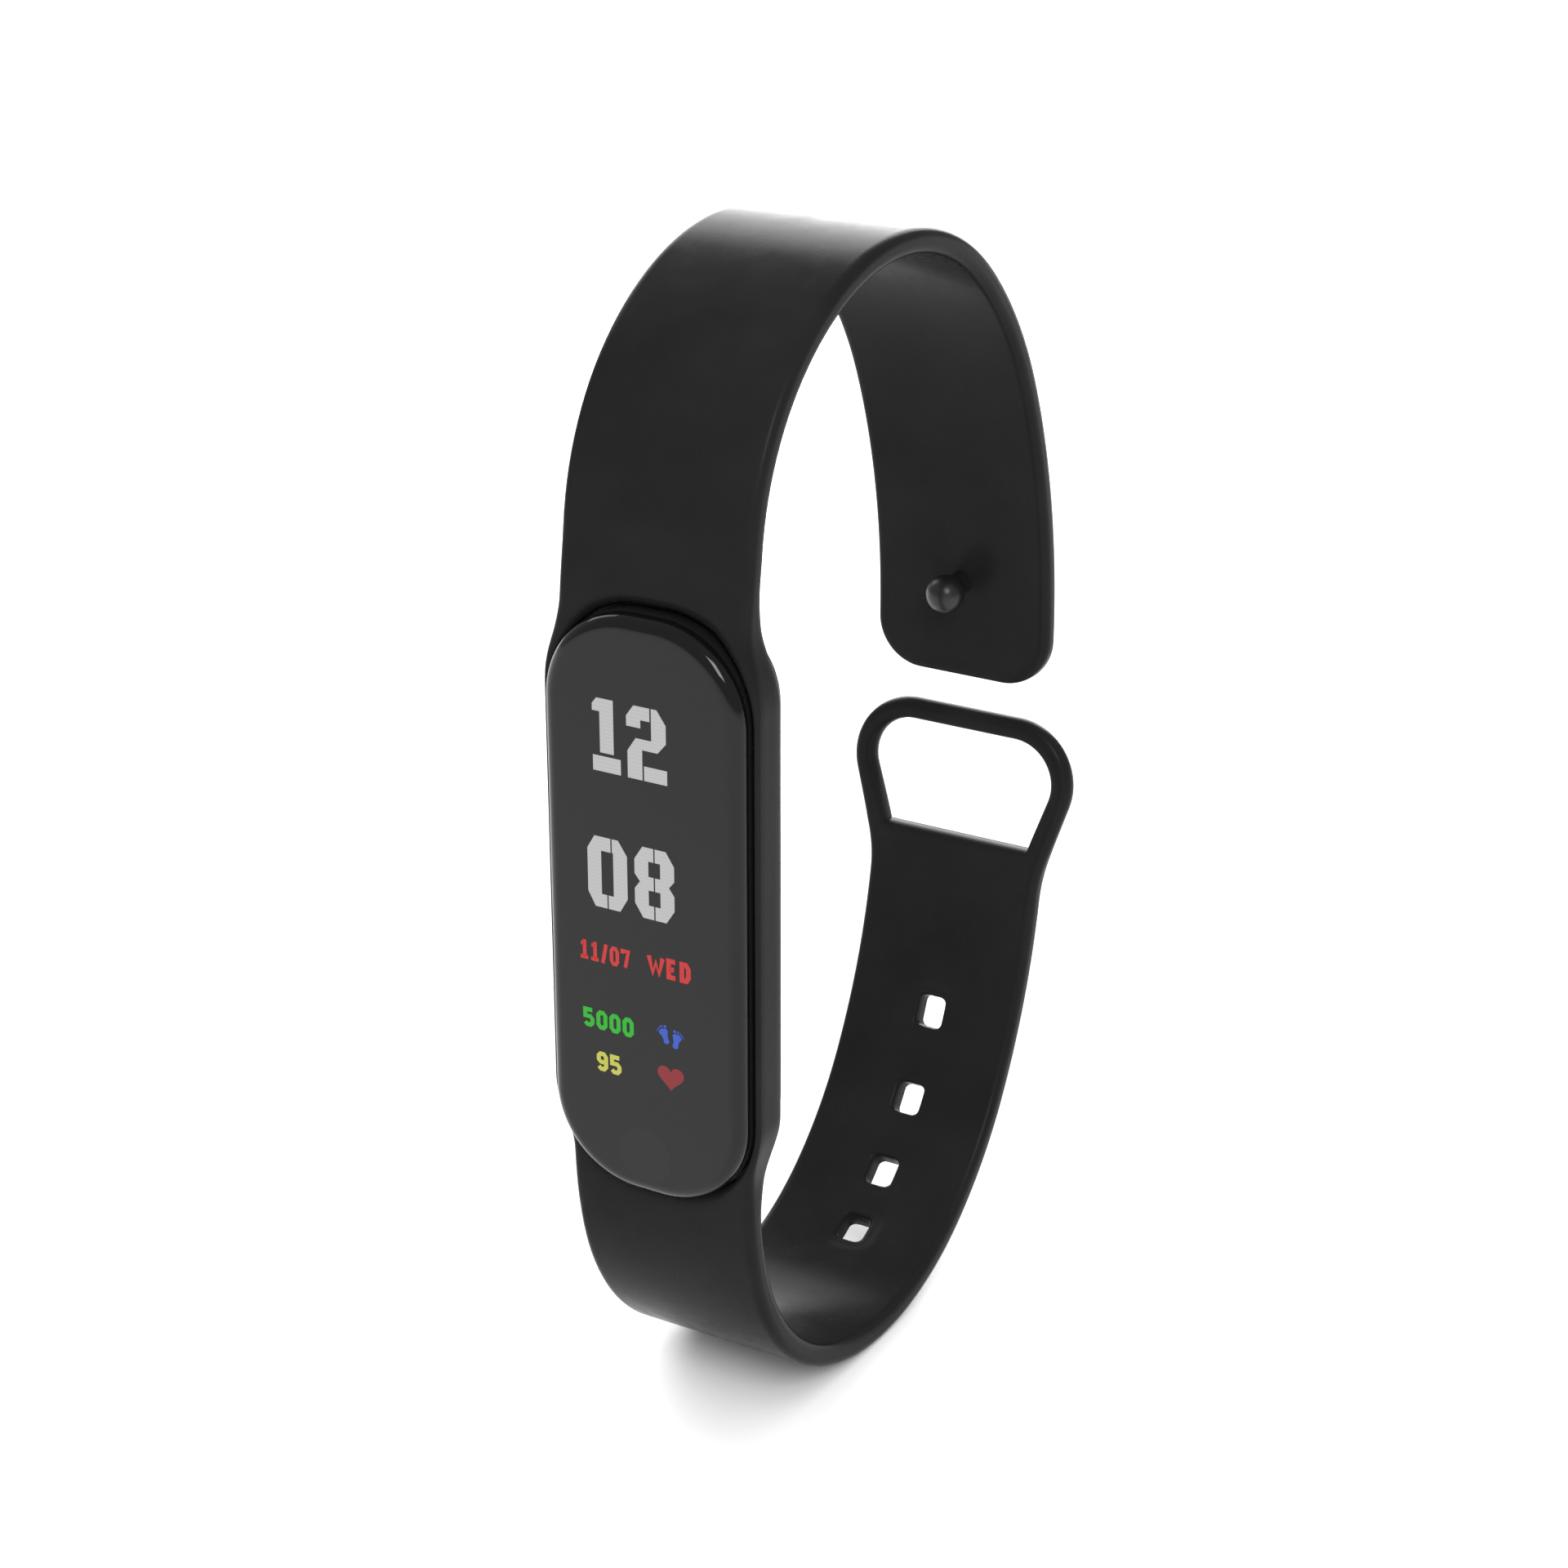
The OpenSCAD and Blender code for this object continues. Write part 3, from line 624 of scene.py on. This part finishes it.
EIGHT_LEFT = [(.12, 5.85), (1.08, 5.85), (1.08, 4.75), (.62, 4.75), (.62, 3.5), (1.08, 3.5),
              (1.08, 2.4), (.62, 2.4), (.62, 1.15), (1.08, 1.15), (1.08, .05), (.12, .05),
              (-.6, 1.15), (-.6, 2.35), (-.13, 2.98), (-.6, 3.55), (-.6, 4.75)]
MINUTES = ZERO + [EIGHT_LEFT, mirrored(EIGHT_LEFT, 1.145)]


SOLE = [(-.28, .42), (-.05, .52), (.24, .45), (.33, .2), (.2, -.1), (.13, -.4), (.16, -.66),
        (.02, -.8), (-.16, -.78), (-.26, -.6), (-.2, -.3), (-.24, 0), (-.33, .2)]
TOES = ((.26, .62, .12), (.04, .7, .085), (-.13, .67, .075), (-.28, .58, .07), (-.4, .45, .06))
FOOT_SCALE = (1.25, 0.98)


def feet():
    """Two small footprints; each stands at a place, tilted, with its own way out."""
    shapes = []
    for x, z, tilt, way in ((1.84, -9.3, 24, 1), (2.9, -9.5, -16, -1)):
        c, s = math.cos(math.radians(tilt)), math.sin(math.radians(tilt))

        def at(px, pz):
            px, pz = px * FOOT_SCALE[0], pz * FOOT_SCALE[1]
            return x + px * way * c - pz * s, z + px * way * s + pz * c

        shapes.append(np.array([at(*p) for p in SOLE]))
        shapes += [disc(*at(px, pz), r, 12) for px, pz, r in TOES]
    return shapes


def heart():
    """The usual heart curve, 2.4 mm wide."""
    t = np.linspace(0, 2 * math.pi, 48, endpoint=False)
    x = 16 * np.sin(t) ** 3
    z = 13 * np.cos(t) - 5 * np.cos(2 * t) - 2 * np.cos(3 * t) - np.cos(4 * t)
    return [pairs(2.35 + x * 1.19 / 16, -12.83 + z * .072)]


def inlay(name, shapes, material, proud=0.02, sunk=0.03):
    """Thin flat shapes let into the front of the glass."""
    bm = bmesh.new()
    for shape in shapes:
        verts = [bm.verts.new(Vector((x, FACE_Y - proud, z + TRACKER_Z)) * MM) for x, z in shape]
        bm.faces.new(verts)
    bmesh.ops.remove_doubles(bm, verts=bm.verts, dist=2 * WELD)
    bmesh.ops.recalc_face_normals(bm, faces=bm.faces)
    front = list(bm.faces)
    made = bmesh.ops.extrude_face_region(bm, geom=front, use_keep_orig=True)
    moved = [v for v in made["geom"] if isinstance(v, bmesh.types.BMVert)]
    bmesh.ops.translate(bm, verts=moved, vec=(0, (proud + sunk) * MM, 0))
    bmesh.ops.recalc_face_normals(bm, faces=bm.faces)
    piece = as_piece(bm, name, material)
    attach(piece, "tracker")
    return piece


def rim_outline(inset, depth, count=30):
    """The tracker's outline, moved in by inset, at a depth behind the face."""
    corner = POD_CORNER - inset
    hx, hz = POD_HALF_X - POD_CORNER, POD_HALF_Z - POD_CORNER
    points = []
    for cx, cz, start in ((hx, hz, 0), (-hx, hz, 90), (-hx, -hz, 180), (hx, -hz, 270)):
        for a in np.linspace(math.radians(start), math.radians(start + 90), count):
            points.append((cx + corner * math.cos(a), FACE_Y + depth,
                           TRACKER_Z + cz + corner * math.sin(a)))
    return np.array(points)


# ---- finishes ----

SHADER = "shader"
PIXEL_ROWS = 0.296          # millimetres between the display's rows as drawn


def parts(colour):
    """The red, green and blue shares of a hex colour."""
    return [int(colour[i:i + 2], 16) / 255 for i in (1, 3, 5)]


def linear(colour):
    """An sRGB hex colour or property value as linear RGBA."""
    if isinstance(colour, str):
        colour = parts(colour)
    return tuple(c / 12.92 if c <= 0.04045 else ((c + 0.055) / 1.055) ** 2.4
                 for c in list(colour)[:3]) + (1.0,)


def add(tree, kind, inputs=None, **settings):
    """Adds one node with its settings; an input given as a socket is linked."""
    node = tree.nodes.new(kind)
    for name, value in settings.items():
        setattr(node, name, value)
    for name, value in (inputs or {}).items():
        if isinstance(value, bpy.types.NodeSocket):
            tree.links.new(value, node.inputs[name])
        else:
            node.inputs[name].default_value = value
    return node


def finish(name, **sockets):
    """A new material with the shader's own sockets set."""
    material = bpy.data.materials.new(name)
    material.use_nodes = True
    tree = material.node_tree
    tree.nodes.clear()
    shader = add(tree, "ShaderNodeBsdfPrincipled",
                 {name.replace("_", " "): value for name, value in sockets.items()})
    shader.name = SHADER
    add(tree, "ShaderNodeOutputMaterial", {"Surface": shader.outputs["BSDF"]})
    return material


def mottle(material, size_mm, low, high, socket="Base Color"):
    """Varies a colour or the roughness in soft patches of a real size."""
    tree = material.node_tree
    place = add(tree, "ShaderNodeTexCoord").outputs["Object"]
    noise = add(tree, "ShaderNodeTexNoise", {"Vector": place, "Scale": 1 / (size_mm * MM),
                                             "Detail": 3.0, "Roughness": 0.55})
    ramp = add(tree, "ShaderNodeValToRGB", {"Fac": noise.outputs["Fac"]})
    if socket == "Roughness":
        low, high = (low,) * 3 + (1,), (high,) * 3 + (1,)
    for end, position, colour in zip(ramp.color_ramp.elements, (0.3, 0.7), (low, high)):
        end.position, end.color = position, colour
    tree.links.new(ramp.outputs["Color"], tree.nodes[SHADER].inputs[socket])


def grain(material, size_mm, depth_mm):
    """A fine raised texture of a real size and depth."""
    tree = material.node_tree
    place = add(tree, "ShaderNodeTexCoord").outputs["Object"]
    noise = add(tree, "ShaderNodeTexNoise", {"Vector": place, "Scale": 1 / (size_mm * MM),
                                             "Detail": 2.0, "Roughness": 0.6})
    bump = add(tree, "ShaderNodeBump", {"Height": noise.outputs["Fac"], "Strength": 1.0,
                                        "Distance": depth_mm * MM})
    tree.links.new(bump.outputs["Normal"], tree.nodes[SHADER].inputs["Normal"])


def shade(colour, factor):
    """A linear colour made lighter or darker."""
    return tuple(min(1.0, c * factor) for c in colour[:3]) + (1.0,)


def patchy(name, colour, patch_mm, grain_mm, depth_mm, darkest=0.88, lightest=1.12, **sockets):
    """A finish of one colour in darker and lighter patches, with a grain if it has depth."""
    material = finish(name, **sockets)
    base = linear(colour)
    mottle(material, patch_mm, shade(base, darkest), shade(base, lightest))
    if depth_mm:
        grain(material, grain_mm, depth_mm)
    return material


def moulded_silicone(colours):
    """Liquid silicone rubber, injection moulded in a spark-eroded mould: a soft dull
    surface whose grain breaks up the highlights, faintly dusty in patches. Its specular
    level is low for the powdery bloom that takes the shine off at a glancing view."""
    # the mould's grit is 0.05 mm; it is drawn as 0.22 mm so that it shows
    material = patchy("silicone_moulded", colours.silicone, 9.0, 0.22, 0.005, 0.86, 1.16,
                      Roughness=0.25, IOR=1.41, Specular_IOR_Level=0.05)
    mottle(material, 2.2, 0.21, 0.29, socket="Roughness")
    return material


def silicone(colours):
    """The band's silicone, made once and shared by both halves."""
    return bpy.data.materials.get("silicone_moulded") or moulded_silicone(colours)


def stud_plastic(colours):
    """Glass-filled nylon, moulded and polished: a harder, glossier black than the strap."""
    return patchy("nylon_stud", colours.stud, 3.0, 0.25, 0.002, 0.9, 1.12,
                  Roughness=0.34, IOR=1.53, Specular_IOR_Level=0.35)


def cover_glass(colours):
    """Chemically hardened glass, ground and polished over black ink: it looks like one
    deep black, with sharp reflections and a trace of haze from handling. Its specular
    level is below plain glass's for the coating that cuts its reflections."""
    material = patchy("glass_inked_polished", colours.glass, 12.0, 0, 0, 0.92, 1.08,
                      Roughness=0.1, IOR=1.5, Specular_IOR_Level=0.27)
    mottle(material, 7.0, 0.07, 0.13, socket="Roughness")
    return material


def lit_pixels(name, colour):
    """A lit region of an organic display behind glass: even, soft colour with the faintest
    trace of its pixel rows. The rows are 0.08 mm apart and are drawn 0.3 mm apart."""
    material = finish(name, Roughness=0.3, IOR=1.5, Base_Color=(0.0, 0.0, 0.0, 1.0),
                      Specular_IOR_Level=0.2, Emission_Strength=1.0)
    tree = material.node_tree
    place = add(tree, "ShaderNodeTexCoord").outputs["Object"]
    # at scale 1 the wave turns through 20 radians in each unit of length
    rows = add(tree, "ShaderNodeTexWave",
               {"Vector": place, "Scale": 2 * math.pi / (20 * PIXEL_ROWS * MM)},
               bands_direction="Z")
    ramp = add(tree, "ShaderNodeValToRGB", {"Fac": rows.outputs["Fac"]})
    for end, factor in zip(ramp.color_ramp.elements, (0.96, 1.03)):
        end.color = shade(linear(colour), factor)
    tree.links.new(ramp.outputs["Color"], tree.nodes[SHADER].inputs["Emission Color"])
    return material


# ---- the stage ----

WORLD_LIGHT = 0.5
# name, azimuth, elevation, how wide it looks in degrees, watts per square metre
WASHES = (
    ("ceiling", 0, 89, 70, 1.2),
    ("front_wash", 25, 42, 60, 1.2),
)
# name, azimuth, elevation, distance in metres, size in metres, power in watts;
# azimuth 0 is in front of the screen and 90 is to its right
LIGHTS = (
    ("rear_panel", -148, 20, 0.8, (0.9, 0.58), 8.4),
    ("front_right", 42, 37, 0.7, (0.2, 0.26), 2.0),
    ("left_fill", -105, 37, 0.8, (0.35, 0.35), 1.1),
)
VIEW_AZIMUTH, VIEW_ELEVATION = 30.5, 22.41
VIEW_TARGET, VIEW_DISTANCE = (-3.32, -0.23, 47.42), 272.54
LIGHT_TARGET = (0.0, 0.0, 0.047)
FLOOR_REACH, FLOOR_Z = 4.0, -0.0001     # metres; a hair below the band, so they never touch


def aim(name, data, azimuth, elevation, distance, target=(0.0, 0.0, 0.0)):
    """Puts a light or camera at a direction and distance from a target, looking at it."""
    a, e = math.radians(azimuth), math.radians(elevation)
    back = Vector((math.sin(a) * math.cos(e), -math.cos(a) * math.cos(e), math.sin(e)))
    made = bpy.data.objects.new(name, data)
    made.location = Vector(target) + back * distance
    made.rotation_mode = "QUATERNION"
    made.rotation_quaternion = (-back).to_track_quat("-Z", "Y")
    bpy.context.scene.collection.objects.link(made)
    return made


# ---- what a user would change ----

def length_property(name, description, default, least, most):
    """A length setting, given in millimetres."""
    return FloatProperty(name=name, description=description, default=default * MM,
                         min=least * MM, max=most * MM, precision=5, unit="LENGTH")


class BandSizes(bpy.types.PropertyGroup):
    """Sizes of the moulded band's details."""

    strap_edge: length_property("Strap edge", "Rounding of the strap's long edges", 0.7, 0.3, 0.9)
    hole_recess: length_property(
        "Hole recess", "Depth of the soft recess around each hole, skin side", 0.14, 0.02, 0.5)
    hole_edge: length_property(
        "Hole edge", "Rounding of each hole's edge, skin side", 0.4, 0.1, 0.8)
    opening_edge: length_property(
        "Opening edge", "Rounding where the band rolls into the tracker's opening", 1.15, 0.3, 1.5)
    glass_edge: length_property(
        "Glass edge", "Width of the cover glass's rounded edge", 1.15, 0.4, 1.6)


def colour_property(name, description, hex_colour):
    """A colour setting with an sRGB default."""
    return FloatVectorProperty(name=name, description=description, subtype="COLOR_GAMMA",
                               size=3, min=0, max=1, default=parts(hex_colour))


class BandColours(bpy.types.PropertyGroup):
    """Colours of the moulded band and its screen."""

    silicone: colour_property("Silicone", "Colour of the moulded band", "#1c1c1d")
    stud: colour_property("Stud", "Colour of the closing stud", "#161617")
    glass: colour_property("Glass", "Colour of the ink behind the glass", "#0b0b0c")
    hours: colour_property("Time", "Colour of the large digits", "#bdbdbd")
    date: colour_property("Date", "Colour of the date", "#c83434")
    steps: colour_property("Steps", "Colour of the step count", "#2fb12f")
    pulse: colour_property("Pulse", "Colour of the pulse count", "#c4c455")
    feet: colour_property("Feet", "Colour of the footprints", "#3a5cc0")
    heart: colour_property("Heart", "Colour of the heart", "#8c2c31")


# ---- operators ----

class BAND_OT_upper_half(bpy.types.Operator):
    """Mould the collar's upper part, the long half of the strap and its tail."""

    bl_idname = "band.upper_half"
    bl_label = "Upper half"

    def execute(self, context):
        scene = context.scene
        half = Half(UPPER, 1, UPPER_EASE)
        skin = Skin()
        seat = half.end - STUD_FROM_TIP
        mould_half(skin, half, scene.band_sizes, [("seat", seat, seat - CELL, seat + CELL)],
                   tip=True)
        piece = skin.close("band_upper_half", silicone(scene.band_colours))
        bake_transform(piece)
        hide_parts("strap_cradle", "upper_strap")
        return {"FINISHED"}


class BAND_OT_lower_half(bpy.types.Operator):
    """Mould the collar's lower part, the short half with its holes, and the keeper loop."""

    bl_idname = "band.lower_half"
    bl_label = "Lower half"

    def execute(self, context):
        scene = context.scene
        way = np.array([math.cos(LOOP_HEADING), math.sin(LOOP_HEADING)])
        tail = np.array([way * t for t in np.arange(0.5, LOOP_RISE + 2.5, 0.5)])
        half = Half(LOWER, -1, LOWER_EASE, tail=tail)
        at = [s + half.end - half.bend_length for s in HOLES_AT]
        stops = ([at[0] - HOLE_BEFORE] + [(a + b) / 2 for a, b in zip(at[:-1], at[1:])]
                 + [at[-1] + HOLE_AFTER])
        skin = Skin()
        mould_half(skin, half, scene.band_sizes,
                   [("hole", s, a, b) for s, a, b in zip(at, stops[:-1], stops[1:])], loop=True)
        piece = skin.close("band_lower_half", silicone(scene.band_colours))
        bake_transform(piece)
        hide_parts("lower_strap")
        return {"FINISHED"}


class BAND_OT_stud(bpy.types.Operator):
    """Turn the stud with its round head, and the cap over its flange."""

    bl_idname = "band.stud"
    bl_label = "Closing stud"

    def execute(self, context):
        half = Half(UPPER, 1, UPPER_EASE)
        at = half.end - STUD_FROM_TIP
        base = half.place(0.0, at, 0.0)
        out = base - half.place(0.0, at, 1.0)
        side = np.array([1.0, 0.0, 0.0])
        up = np.cross(out, side)
        material = stud_plastic(context.scene.band_colours)

        def turned(name, profile, node):
            """A round piece from (radius, depth) pairs."""
            skin = Skin()
            angles = np.linspace(0, 2 * math.pi, 40, endpoint=False)
            skin.ring([np.array([base - out * d + r * (side * math.cos(a) + up * math.sin(a))
                                 for a in angles]) for r, d in profile])
            piece = skin.close(name, material, sharp=50)
            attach(piece, "upper_strap")
            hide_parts(node)

        ball = [(STUD_HEAD * math.sin(a), STRAP_T + STUD_REACH + STUD_HEAD * math.cos(a))
                for a in np.linspace(math.radians(5), math.pi - math.asin(STUD_NECK / STUD_HEAD),
                                     20)]
        turned("stud", ball + STUD_STEM, "closure_stud")
        turned("stud_cap_disc", STUD_CAP, "stud_cap")
        return {"FINISHED"}


class BAND_OT_glass(bpy.types.Operator):
    """Grind the tracker's cover glass, with its rounded front edge."""

    bl_idname = "band.glass"
    bl_label = "Cover glass"

    def execute(self, context):
        scene = context.scene
        width = scene.band_sizes.glass_edge / MM
        edge = [(width * (1 - math.cos(a)), GLASS_ROUND * (1 - math.sin(a)))
                for a in np.linspace(0, math.pi / 2, 14)]
        profile = [(0.0, GLASS_T)] + edge + [(width + 0.35, 0.0), (width + 1.2, 0.0)]
        skin = Skin()
        skin.ring([rim_outline(inset, depth) for inset, depth in profile])
        piece = skin.close("glass_front", cover_glass(scene.band_colours))
        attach(piece, "tracker")
        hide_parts("cover_glass")
        return {"FINISHED"}


class BAND_OT_display(bpy.types.Operator):
    """Lay the lit digits and symbols of the display into the face of the glass."""

    bl_idname = "band.display"
    bl_label = "Display"

    def execute(self, context):
        colours = context.scene.band_colours
        lit = [("digits_hours", HOURS, "display_white", colours.hours),
               ("digits_minutes", MINUTES, "display_white", colours.hours)]
        lit += [(name, line_of(*line), material, getattr(colours, colour))
                for name, line, material, colour in LINES]
        lit += [("feet_symbol", feet(), "display_blue", colours.feet),
                ("heart_symbol", heart(), "display_dark_red", colours.heart)]
        for name, shapes, material, colour in lit:
            made = bpy.data.materials.get(material) or lit_pixels(material, colour)
            inlay(name, shapes, made)
        key = patchy("ink_touch_key", "#101011", 4.0, 0.3, 0, Roughness=0.12, IOR=1.5,
                           Specular_IOR_Level=0.27)
        inlay("touch_key", [disc(*TOUCH_KEY, 64)], key, proud=0.006)
        return {"FINISHED"}


class BAND_OT_tracker_parts(bpy.types.Operator):
    """Finish the tracker's case and everything packed inside it."""

    bl_idname = "band.tracker_parts"
    bl_label = "Tracker case and inside"

    def execute(self, context):
        finishes = {
            # polycarbonate blend, moulded with a fine spark finish: satin, nearly black
            ("tracker_case", "inner_frame", "light_barrier"): patchy(
                "polycarbonate_moulded", "#0e0e0f", 6.0, 0.25, 0.003, Roughness=0.5, IOR=1.58),
            # polished acrylic over an infrared ink: deep, faintly violet black
            ("sensor_lens",): patchy(
                "acrylic_filter_polished", "#0d0b10", 5.0, 0.3, 0, Roughness=0.08, IOR=1.49),
            # closed-cell foam, die cut: dull, with open pores along the cut
            ("glass_seal", "display_pad", "battery_pad"): patchy(
                "foam_die_cut", "#26262a", 0.8, 0.12, 0.03, Roughness=0.95, IOR=1.4),
            # indium tin oxide film, laminated: dark with a slight sheen
            ("touch_panel", "display_panel"): patchy(
                "film_laminated", "#0c0d12", 5.0, 0.3, 0, Roughness=0.16, IOR=1.5),
            # polyimide ribbon, rolled: clear amber over copper
            ("display_flex", "sensor_flex"): patchy(
                "polyimide_rolled", "#a8651c", 1.2, 0.15, 0.002, Roughness=0.34, IOR=1.7),
            # glass-epoxy board, solder mask screened over its tracks: a low green shine
            ("main_board", "battery_board", "sensor_board", "contact_board", "motor_base"):
                patchy("board_screened", "#0f4a2c", 0.9, 0.18, 0.01, 0.7, 1.3, Roughness=0.38,
                       IOR=1.55),
            # epoxy mould compound, transfer moulded: matte charcoal, fine grit
            ("processor", "memory_chip", "radio_chip", "motion_sensor", "photodiode"): patchy(
                "epoxy_moulded", "#1a1a1c", 0.7, 0.1, 0.004, Roughness=0.6, IOR=1.55),
            # stamped stainless steel, tumbled: soft grey reflections
            ("shield_can", "motor_can", "motor_shaft"): patchy(
                "steel_stamped", "#b9babd", 1.5, 0.1, 0.002, Metallic=1.0, Roughness=0.3),
            # alumina ceramic, fired and metallised: chalky off-white
            ("antenna_chip",): patchy(
                "ceramic_fired", "#d8d6cb", 0.6, 0.12, 0.004, Roughness=0.55, IOR=1.77),
            # clear epoxy lens over green dice: milky green
            ("green_leds",): patchy(
                "epoxy_lens_cast", "#8fce7a", 0.5, 0.1, 0.002, Roughness=0.2, IOR=1.53),
            # laminated aluminium pouch, cold pressed: wrinkled satin silver
            ("battery_cell",): patchy(
                "foil_laminated", "#a4a8ad", 2.5, 0.8, 0.03, Metallic=1.0, Roughness=0.42),
            # gold over nickel, electroplated: warm, softly brushed
            ("charge_contacts",): patchy(
                "gold_plated", "#d8b465", 0.6, 0.08, 0.002, Metallic=1.0, Roughness=0.24),
            # sintered tungsten alloy: dark grey, slightly grainy
            ("motor_weight",): patchy(
                "tungsten_sintered", "#6d6b68", 0.6, 0.12, 0.01, Metallic=1.0, Roughness=0.45),
        }
        for nodes, material in finishes.items():
            for name in nodes:
                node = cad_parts[name]
                if not node.material_slots:
                    raise RuntimeError(f"{name} has no material slot")
                for place in node.material_slots:
                    place.link = "OBJECT"
                    place.material = material
        return {"FINISHED"}


class BAND_OT_stage(bpy.types.Operator):
    """Set out the pale floor, the studio lights and the camera."""

    bl_idname = "band.stage"
    bl_label = "Stage"

    def execute(self, context):
        scene = context.scene
        bm = bmesh.new()
        bm.faces.new([bm.verts.new((x * FLOOR_REACH, y * FLOOR_REACH, FLOOR_Z))
                      for x, y in ((-1, -1), (1, -1), (1, 1), (-1, 1))])
        # painted board, sprayed matt white: an even ground that only shows its shadow
        paint = finish("paint_matt_white", Base_Color=(0.93, 0.93, 0.93, 1.0), Roughness=0.9,
                       Specular_IOR_Level=0.0)
        grain(paint, 1.5, 0.002)
        as_piece(bm, "floor", paint)

        world = bpy.data.worlds.new("studio")
        world.use_nodes = True
        background = world.node_tree.nodes["Background"].inputs
        background["Color"].default_value = (1.0, 1.0, 1.0, 1.0)
        background["Strength"].default_value = WORLD_LIGHT
        scene.world = world
        for name, azimuth, elevation, width, strength in WASHES:
            wash = bpy.data.lights.new(name, "SUN")
            wash.energy, wash.angle = strength, math.radians(width)
            # a wash lights the ground and leaves no highlight of its own on the band
            aim(name, wash, azimuth, elevation, 1.0).visible_glossy = False
        for name, azimuth, elevation, distance, size, power in LIGHTS:
            panel = bpy.data.lights.new(name, "AREA")
            panel.shape = "RECTANGLE"
            panel.size, panel.size_y = size
            panel.energy = power
            aim(name, panel, azimuth, elevation, distance, LIGHT_TARGET)

        camera = bpy.data.cameras.new("view")
        camera.lens, camera.sensor_width = 76.5, 36.0
        camera.clip_start, camera.clip_end = 0.01, 20.0
        scene.camera = aim("view", camera, VIEW_AZIMUTH, VIEW_ELEVATION, VIEW_DISTANCE * MM,
                           Vector(VIEW_TARGET) * MM)
        scene.view_settings.view_transform = "Standard"
        scene.view_settings.look = "None"
        return {"FINISHED"}


STEPS = (BAND_OT_upper_half, BAND_OT_lower_half, BAND_OT_stud, BAND_OT_glass, BAND_OT_display,
         BAND_OT_tracker_parts, BAND_OT_stage)


class BAND_PT_builder(bpy.types.Panel):
    """The band's pieces, sizes and colours."""

    bl_idname = "BAND_PT_builder"
    bl_label = "Fitness band"
    bl_space_type = "VIEW_3D"
    bl_region_type = "UI"
    bl_category = "Band"

    def draw(self, context):
        for group in (context.scene.band_sizes, context.scene.band_colours):
            box = self.layout.box()
            for name in group.__annotations__:
                box.prop(group, name)
        for step in STEPS:
            self.layout.operator(step.bl_idname)


CLASSES = (BandSizes, BandColours) + STEPS + (BAND_PT_builder,)


def register():
    for cls in CLASSES:
        bpy.utils.register_class(cls)
    bpy.types.Scene.band_sizes = PointerProperty(type=BandSizes)
    bpy.types.Scene.band_colours = PointerProperty(type=BandColours)


def unregister():
    del bpy.types.Scene.band_colours
    del bpy.types.Scene.band_sizes
    for cls in reversed(CLASSES):
        bpy.utils.unregister_class(cls)


def main():
    """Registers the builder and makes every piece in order."""
    register()
    for step in STEPS:
        group, name = step.bl_idname.split(".")
        if getattr(getattr(bpy.ops, group), name)() != {"FINISHED"}:
            raise RuntimeError(f"{step.bl_label} did not finish")


if __name__ == "__main__":
    main()
